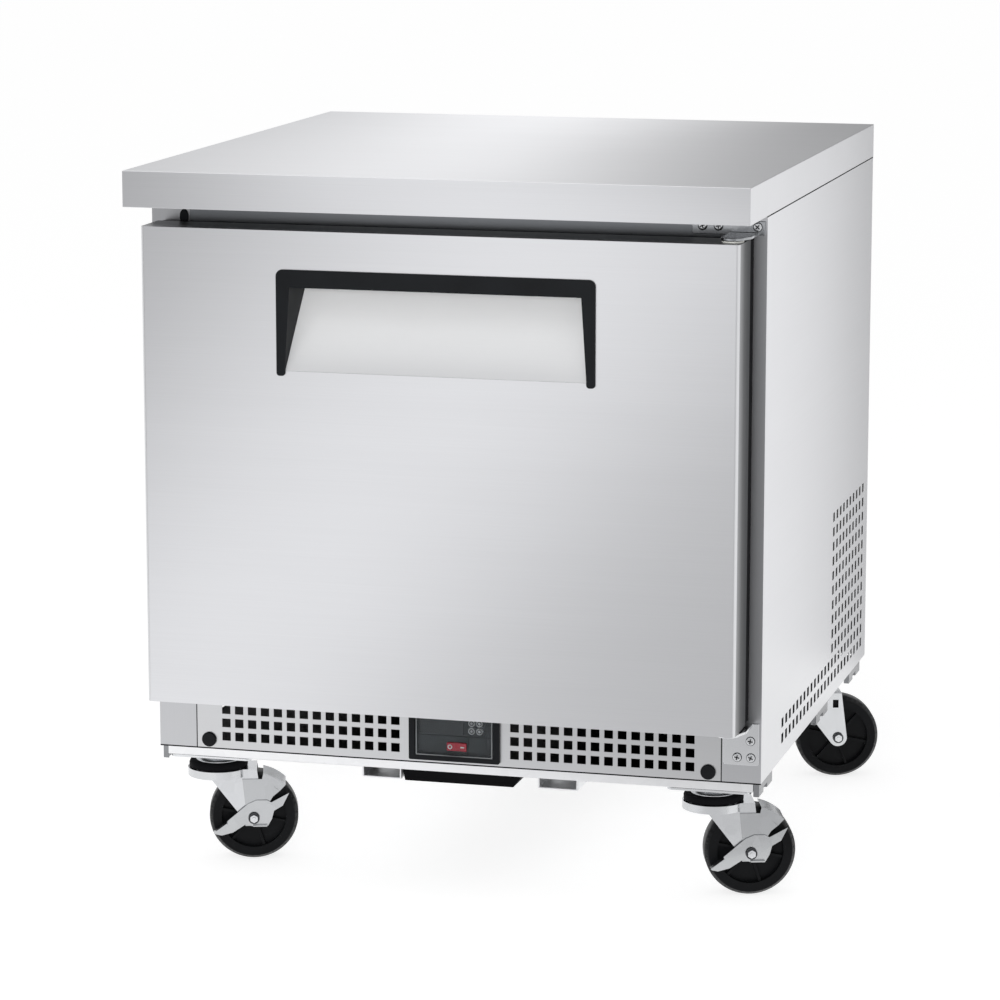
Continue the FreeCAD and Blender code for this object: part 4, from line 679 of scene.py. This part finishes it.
# Painted shade and painted light: the plate runs from dark at its foot to light at its top.
plate_tree.links.new(tint(plate_tree, along_axis(plate_tree, "Z"), plate_painted_shade_foot, plate_painted_light_top,
                          plate_low.z, plate_high.z - 0.01), plate_shade.inputs["A"])
plate_tree.links.new(tint(plate_tree, plate_grain.outputs["Tone"], (0.98, 0.98, 0.98), (1.0, 1.0, 1.0)),
                     plate_shade.inputs["B"])
plate_tree.links.new(plate_shade.outputs["Result"], plate_shader.inputs["Base Color"])
plate_tree.links.new(span(plate_tree, plate_grain.outputs["Cloud"], 0.44, 0.52),
                     plate_shader.inputs["Roughness"])
relief(plate_tree, plate_shader, plate_grain.outputs["Height"], 0.000008)
dressed("handle_plate", "door", plate_painted_light_steel, "brushed", 0.0003)
lap_gap = 0.0004
foot_lap = block("plate_foot_lap", (plate_low.x + lap_gap, shell_low.y - 0.00006, plate_low.z - 0.0022),
                 (plate_high.x - lap_gap, shell_low.y + 0.0008, plate_low.z + lap_gap))
soften(foot_lap, 0.00004, 1)
wear(foot_lap, "door", steel_x, "brushed")


# ---------------------------------------------------------------- hinges and screws
# Zinc-plated steel brackets with a pin each, held to the post by cross-head screws.

bright_zinc = zinc_sheet("bright_zinc", (0.71, 0.72, 0.735), 0.20, 90.0, 0.012)
# The top bracket takes a dark copy of the zinc: painted shade under the worktop.
top_bracket_painted_shade_zinc = zinc_sheet("top_bracket_painted_shade_zinc", (0.36, 0.37, 0.385), 0.14, 120.0, 0.05)
dressed("hinge_bracket_top", "cabinet", top_bracket_painted_shade_zinc, "zinc", 0.0005)
dressed("hinge_bracket_bottom", "cabinet", bright_zinc, "zinc", 0.0005)
recess_painted_shade = zinc_sheet("screw_recess_painted_shade", (0.05, 0.052, 0.055), 0.4, 420.0, 0.03)


def cross_head_screw(name, radius, height):
    """Pan head on a dark ring of painted shadow, facing -Y with its back at the origin, with a cross recess
    painted dark as shade.
    """
    head = drum(name, radius, height, (0.0, -height / 2, 0.0), 32)
    dome = head.modifiers.new("dome", "BEVEL")
    dome.width = 0.62 * height
    dome.segments = 4
    dome.limit_method = "ANGLE"
    bpy.ops.object.modifier_apply(modifier="dome")
    arm = 0.62 * radius
    width = 0.15 * radius
    bar = block("cross_bar", (-arm, -2 * height, -width), (arm, -0.35 * height, width))
    post = block("cross_post", (-width, -2 * height, -arm), (width, -0.35 * height, arm))
    cut_away(head, bar, post)
    bpy.ops.object.shade_smooth_by_angle(angle=math.radians(30.0))
    head.data.materials.append(bright_zinc)
    # Painted shade: the faces inside the cross recess take near-black zinc.
    also_wears(head, recess_painted_shade, lambda face: math.hypot(face.center.x, face.center.z) < 0.7 * radius
               and face.center.y > -0.97 * height)
    # The dark ring under the head is a painted shadow.
    shadow_ring_height = 0.0003
    shadow_ring = drum("shadow_ring", 1.14 * radius, shadow_ring_height, (0.0, -shadow_ring_height / 2, 0.0), 32)
    shadow_ring.data.materials.append(recess_painted_shade)
    return merged(name, head, shadow_ring)


def set_out(pattern, name, spots):
    """Copies of one small part, each in its place, joined as one piece."""
    copies = [placed_copy(pattern, name, *spot) for spot in spots]
    bpy.data.objects.remove(pattern)
    return merged(name, *copies)


half_turn = math.radians(180.0)
screw_boxes = sorted(loose_boxes("screws"), key=lambda found: tuple(found[0]))
front_spots = []
back_spots = []
for count, (low, high) in enumerate(screw_boxes):
    middle_x = (low.x + high.x) / 2
    middle_z = (low.z + high.z) / 2
    if low.y < 0:
        front_spots.append(((middle_x, high.y, middle_z), math.radians(17.0 * count), 0.0))
    else:
        back_spots.append(((middle_x, low.y, middle_z), math.radians(23.0 * count), half_turn))
front_screws = set_out(cross_head_screw("front_screw", 0.0046, 0.0022), "bracket_screws", front_spots)
carry(front_screws, "cabinet", "zinc", "screws")
back_screws = set_out(cross_head_screw("back_screw", 0.0036, 0.0008), "back_panel_screws", back_spots)
carry(back_screws, "cabinet", "zinc")


# ---------------------------------------------------------------- casters
# Zinc-plated plate and bearing cup with a black seal, pressed fork, black moulded wheel; the front
# two carry a brake shoe and a winged pedal on the axle. Notched rails show under the side panels.

wheel_black = moulded("wheel_black", (0.005, 0.0053, 0.006), 0.34, 700.0, 0.00003, 0.10)
wheel_edge_painted_highlight = moulded("wheel_edge_painted_highlight", (0.022, 0.023, 0.025), 0.24, 700.0, 0.00001, 0.5)
fork_zinc = zinc_sheet("fork_zinc", (0.65, 0.66, 0.675), 0.20, 90.0, 0.03)
shoe_zinc = zinc_sheet("shoe_zinc", (0.50, 0.51, 0.52), 0.20, 90.0, 0.03)
lever_zinc = zinc_sheet("lever_zinc", (0.53, 0.54, 0.55), 0.20, 90.0, 0.03)
nut_shadow_ring_zinc = zinc_sheet("nut_painted_shadow_ring", (0.06, 0.062, 0.066), 0.35, 420.0, 0.03)
dressed("caster_plates", "cabinet", bright_zinc, "zinc", 0.0006)
dressed("caster_seals", "cabinet", rubber, "black_rubber", 0.0016, 4)


def rail_end(name, length):
    """Notched end of a folded rail, seen under a side panel; its inner corner at the origin."""
    end_wall = 0.0016
    piece = block(name, (0.0, 0.0, 0.0), (0.0065, length, 0.0150))
    notch = block("notch", (0.0035, 0.34 * length, -0.001), (0.010, 0.62 * length, 0.0055))
    hollow = block("hollow", (-0.001, end_wall, -0.001), (0.0020, length - end_wall, 0.0130))
    cut_away(piece, notch, hollow)
    soften(piece, 0.0005)
    piece.data.materials.append(rail_zinc)
    return piece


rail_zinc = zinc_sheet("rail_zinc", (0.27, 0.275, 0.285), 0.30, 160.0, 0.05)
pan_low, pan_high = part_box("base_pan")
rail_z = pan_low.z - 0.0055
rail_length = 0.075
rail_spots = []
for start in (pan_low.y + 0.002, 0.060, 0.282):
    rail_spots.append(((pan_high.x, start, rail_z), 0.0, 0.0))
    rail_spots.append(((pan_low.x, start + rail_length, rail_z), 0.0, half_turn))
rail_ends = set_out(rail_end("rail_end", rail_length), "base_rail_ends", rail_spots)
carry(rail_ends, "cabinet", "galvanised")


def axle_end(name, radius, height):
    """Hexagon nut with chamfered corners on a dark washer painted as a shadow ring, facing -Y, its back at
    the origin.
    """
    washer_height = 0.0006
    # The dark washer under the nut is a painted shadow ring.
    washer = drum("washer", 1.28 * radius, washer_height, (0.0, -washer_height / 2, 0.0))
    soften(washer, 0.0002)
    washer.data.materials.append(nut_shadow_ring_zinc)
    nut = drum(name, radius, height, (0.0, -washer_height - height / 2, 0.0), 6)
    soften(nut, 0.0008, 3)
    stud = drum("stud", 0.5 * radius, 0.001, (0.0, -0.0011 - height, 0.0), 24)
    soften(stud, 0.0004, 3)
    for part in (nut, stud):
        part.data.materials.append(bright_zinc)
    return merged(name, nut, stud, washer)


bolt_end = axle_end("axle_nut", 0.0050, 0.0026)
braked_reach = 0.0279       # from the wheel's middle out to the washer
plain_reach = 0.0238
dish_radius = 0.0455
for corner in ("front_left", "front_right", "rear_left", "rear_right"):
    fork_body = "body_caster_fork_" + corner
    dressed("caster_fork_" + corner, fork_body, fork_zinc, "zinc", 0.0007)
    wheel = dressed("caster_wheel_" + corner, "body_caster_wheel_" + corner, wheel_black, "tread", 0.0012)
    low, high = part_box("caster_wheel_" + corner)
    hub = (low + high) / 2
    turn = math.radians(162.0 if corner == "rear_left" else 18.0)
    outward = Vector((math.sin(turn), -math.cos(turn), 0.0))
    # Painted highlight: the rounded rim faces take a lighter, glossier black.
    also_wears(wheel, wheel_edge_painted_highlight, lambda face: 0.25 < abs(face.normal.dot(outward)) < 0.97
               and (face.center - hub).length < dish_radius)
    reach = braked_reach if corner.startswith("front") else plain_reach
    nut = placed_copy(bolt_end, "axle_nut_" + corner, hub + outward * reach, 0.0, turn)
    carry(nut, fork_body, "zinc")
bpy.data.objects.remove(bolt_end)
for side in ("front_left", "front_right"):
    dressed("brake_shoe_" + side, "body_brake_shoe_" + side, shoe_zinc, "zinc", 0.0004)
    dressed("brake_lever_" + side, "body_brake_lever_" + side, lever_zinc, "zinc", 0.0005)


# ---------------------------------------------------------------- inside
# Stainless liner, a wire shelf hooked on four wall strips, and the cold unit under the ceiling.

for node in ("inner_liner", "evaporator_cover"):
    paint(node, steel_x)
dressed("shelf", "cabinet", bright_zinc, "zinc", 0.0005)

fins, fin_tree, fin_shader = surface("aluminium_fins", (0.80, 0.81, 0.82), 0.35, 1.0)
fin_wave = on_object(fin_tree, "ShaderNodeTexWave", {"Scale": 80.0, "Distortion": 0.2}, bands_direction="X")
# The dark stripes are painted shade between the fins; the same stripes give the fins' bump.
fin_tree.links.new(tint(fin_tree, fin_wave.outputs["Fac"], (0.25, 0.25, 0.26), (0.86, 0.87, 0.88)),
                   fin_shader.inputs["Base Color"])
relief(fin_tree, fin_shader, fin_wave.outputs["Fac"], 0.0008)
paint("evaporator_coil", fins)


# ---------------------------------------------------------------- machine space
# Black enamelled hermetic pot and black condenser coil, copper pipes, fans on grey drum motors, and
# the rubber cord grommet in the rear grille.

black_enamel = moulded("black_enamel", (0.012, 0.012, 0.012), 0.22, 300.0, 0.00003)
paint("compressor", black_enamel)
paint("condenser_coil", black_enamel)
motor_grey = moulded("motor_grey", (0.22, 0.225, 0.23), 0.45, 700.0, 0.00003)
for node in ("evaporator_fan_motor", "condenser_fan_motor"):
    paint(node, motor_grey)
copper, copper_tree, copper_shader = surface("drawn_copper", (0.72, 0.38, 0.24), 0.3, 1.0)
tarnish = on_object(copper_tree, "ShaderNodeTexNoise", {"Scale": 25.0, "Detail": 4.0})
copper_tree.links.new(tint(copper_tree, tarnish.outputs["Fac"], (0.42, 0.2, 0.12), (0.80, 0.44, 0.28)),
                      copper_shader.inputs["Base Color"])
copper_tree.links.new(span(copper_tree, tarnish.outputs["Fac"], 0.22, 0.45),
                      copper_shader.inputs["Roughness"])
paint("refrigerant_pipes", copper)
paint("cord_gland", rubber)


# ---------------------------------------------------------------- studio
# Pale floor that keeps a faint shadow, a white room behind, soft lamps, and cards beside the object
# that only metal and gloss see.

def seen_white(tree):
    """One where the ray comes from the camera, a mirror or glass; returns the output."""
    path = add(tree, "ShaderNodeLightPath")
    first = add(tree, "ShaderNodeMath", operation="ADD")
    second = add(tree, "ShaderNodeMath", operation="ADD", use_clamp=True)
    tree.links.new(path.outputs["Is Camera Ray"], first.inputs[0])
    tree.links.new(path.outputs["Is Glossy Ray"], first.inputs[1])
    tree.links.new(first.outputs[0], second.inputs[0])
    tree.links.new(path.outputs["Is Transmission Ray"], second.inputs[1])
    return second.outputs[0]


world = bpy.data.worlds.new("studio")
bpy.context.scene.world = world
world.use_nodes = True
room = world.node_tree
room.nodes.clear()
away = add(room, "ShaderNodeTexCoord")
split = add(room, "ShaderNodeSeparateXYZ")
white = (1.0, 1.0, 1.0, 1.0)
backdrop = add(room, "ShaderNodeBackground", {"Strength": 1.0})
dim = add(room, "ShaderNodeBackground", {"Color": white, "Strength": 0.55})
choose = add(room, "ShaderNodeMixShader")
plain_white = add(room, "ShaderNodeBackground", {"Color": white, "Strength": 1.0})
sky_path = add(room, "ShaderNodeLightPath")
straight = add(room, "ShaderNodeMixShader")
sky_out = add(room, "ShaderNodeOutputWorld")
shade = add(room, "ShaderNodeMix", data_type="RGBA")
shade.inputs["A"].default_value = (0.80, 0.80, 0.81, 1.0)
shade.inputs["B"].default_value = white
room.links.new(away.outputs["Generated"], split.inputs[0])
room.links.new(span(room, split.outputs["Z"], 0.0, 1.0, -0.1, 0.9), shade.inputs["Factor"])
room.links.new(shade.outputs["Result"], backdrop.inputs["Color"])
room.links.new(seen_white(room), choose.inputs[0])
room.links.new(dim.outputs[0], choose.inputs[1])
room.links.new(backdrop.outputs[0], choose.inputs[2])
room.links.new(sky_path.outputs["Is Camera Ray"], straight.inputs[0])
room.links.new(choose.outputs[0], straight.inputs[1])
room.links.new(plain_white.outputs[0], straight.inputs[2])
room.links.new(straight.outputs[0], sky_out.inputs["Surface"])

bpy.ops.object.select_all(action="DESELECT")
bpy.ops.mesh.primitive_plane_add(size=120.0, location=(0.0, 0.0, -0.0005))
floor = bpy.context.active_object
floor.name = "studio_floor"
floor_paint = bpy.data.materials.new("studio_floor")
floor_paint.use_nodes = True
ground = floor_paint.node_tree
ground.nodes.clear()
matt = add(ground, "ShaderNodeBsdfDiffuse", {"Color": (0.42, 0.42, 0.42, 1.0)})
glow = add(ground, "ShaderNodeEmission", {"Color": white, "Strength": 0.76})
both = add(ground, "ShaderNodeAddShader")
plain = add(ground, "ShaderNodeBsdfDiffuse", {"Color": (0.8, 0.8, 0.8, 1.0)})
by_ray = add(ground, "ShaderNodeMixShader")
ground_out = add(ground, "ShaderNodeOutputMaterial")
ground.links.new(matt.outputs[0], both.inputs[0])
ground.links.new(glow.outputs[0], both.inputs[1])
ground.links.new(seen_white(ground), by_ray.inputs[0])
ground.links.new(plain.outputs[0], by_ray.inputs[1])
ground.links.new(both.outputs[0], by_ray.inputs[2])
ground.links.new(by_ray.outputs[0], ground_out.inputs["Surface"])
floor.data.materials.append(floor_paint)


def softbox(name, place, target, width, height, watts):
    """Rectangular lamp aimed at a point."""
    data = bpy.data.lights.new(name, "AREA")
    data.shape = "RECTANGLE"
    data.size = width
    data.size_y = height
    data.energy = watts
    lamp = bpy.data.objects.new(name, data)
    lamp.location = place
    lamp.rotation_euler = (Vector(target) - Vector(place)).to_track_quat("-Z", "Y").to_euler()
    lamp.visible_camera = False
    bpy.context.scene.collection.objects.link(lamp)
    return lamp


def reflector(name, low, high, slope, start, stops):
    """Card that only metal and gloss see; its light changes along one slanting line."""
    card = block(name, low, high)
    paper = bpy.data.materials.new(name)
    paper.use_nodes = True
    sheet = paper.node_tree
    sheet.nodes.clear()
    where = add(sheet, "ShaderNodeTexCoord")
    along = add(sheet, "ShaderNodeVectorMath", {0: (0.0, 0.0, 0.0), 1: slope}, operation="DOT_PRODUCT")
    first, last = stops[0][0], stops[-1][0]
    share = add(sheet, "ShaderNodeMapRange", {"From Min": first - start, "From Max": last - start})
    ramp = add(sheet, "ShaderNodeValToRGB")
    lamp = add(sheet, "ShaderNodeEmission")
    leave = add(sheet, "ShaderNodeOutputMaterial")
    for count, (place, light) in enumerate(stops):
        part = (place - first) / (last - first)
        if count in (0, len(stops) - 1):
            mark = ramp.color_ramp.elements[0 if count == 0 else -1]
        else:
            mark = ramp.color_ramp.elements.new(part)
        mark.position = part
        mark.color = (light, light, 1.01 * light, 1.0)
    sheet.links.new(where.outputs["Object"], along.inputs[0])
    sheet.links.new(along.outputs["Value"], share.inputs["Value"])
    sheet.links.new(share.outputs["Result"], ramp.inputs["Fac"])
    sheet.links.new(ramp.outputs["Color"], lamp.inputs["Color"])
    sheet.links.new(lamp.outputs[0], leave.inputs["Surface"])
    card.data.materials.append(paper)
    card.visible_camera = False
    card.visible_shadow = False
    card.visible_diffuse = False


reflector("front_card", (-1.15, -0.866, 0.0), (0.75, -0.865, 0.72), (1.3305, 0.0, -1.083), 1.424,
          ((-0.6, 0.44), (0.0, 0.54), (0.36, 0.92), (0.55, 1.09), (0.78, 1.13),
           (0.97, 1.03), (1.12, 0.84), (1.3, 0.68), (1.8, 0.60)))
reflector("low_card", (-0.25, -0.864, 0.003), (0.75, -0.42, 0.004), (1.0, 0.0, 0.0), 0.0,
          ((-0.25, 1.05), (-0.02, 1.0), (0.15, 0.78), (0.75, 0.74)))
reflector("edge_card", (-1.15, -0.866, 0.72), (0.75, -0.865, 1.0), (1.0, 0.0, 0.0), 0.0,
          ((-1.0, 0.40), (-0.5, 0.55), (-0.28, 1.05), (-0.05, 1.10),
           (0.12, 0.85), (0.3, 0.6), (0.75, 0.6)))
reflector("back_card", (-1.3, 0.9, 0.80), (0.9, 0.901, 1.3), (1.0, 0.0, 1.3), -1.105,
          ((-1.3, 0.62), (-0.75, 0.56), (-0.42, 0.76), (-0.15, 1.36),
           (0.04, 0.97), (0.22, 0.42), (0.45, 0.36), (1.6, 0.45)))
reflector("side_card", (0.40, 0.9, 0.0), (0.9, 0.901, 0.80), (1.0, 0.0, 0.0), 0.0,
          ((0.40, 0.30), (0.45, 0.42), (0.50, 0.76), (0.60, 1.12), (0.9, 1.12)))

softbox("overhead", (-0.4, -1.2, 3.2), (0.0, 0.0, 0.5), 2.2, 2.2, 12.0)
front_fill = softbox("front_fill", (0.4, -4.0, 0.9), (0.0, -0.36, 0.6), 1.6, 1.2, 80.0)
front_fill.visible_glossy = False

lens = bpy.data.cameras.new("camera")
lens.sensor_width = 36.0
lens.lens = 143.6
lens.clip_end = 200.0
camera = bpy.data.objects.new("camera", lens)
camera.location = (1.1692, -4.4690, 1.2483)
camera_tilt = math.radians(10.59)
camera_side = math.radians(14.95)
camera.rotation_euler = (quarter_turn - camera_tilt, 0.0, camera_side)
bpy.context.scene.collection.objects.link(camera)
bpy.context.scene.camera = camera
bpy.context.scene.view_settings.view_transform = "Standard"
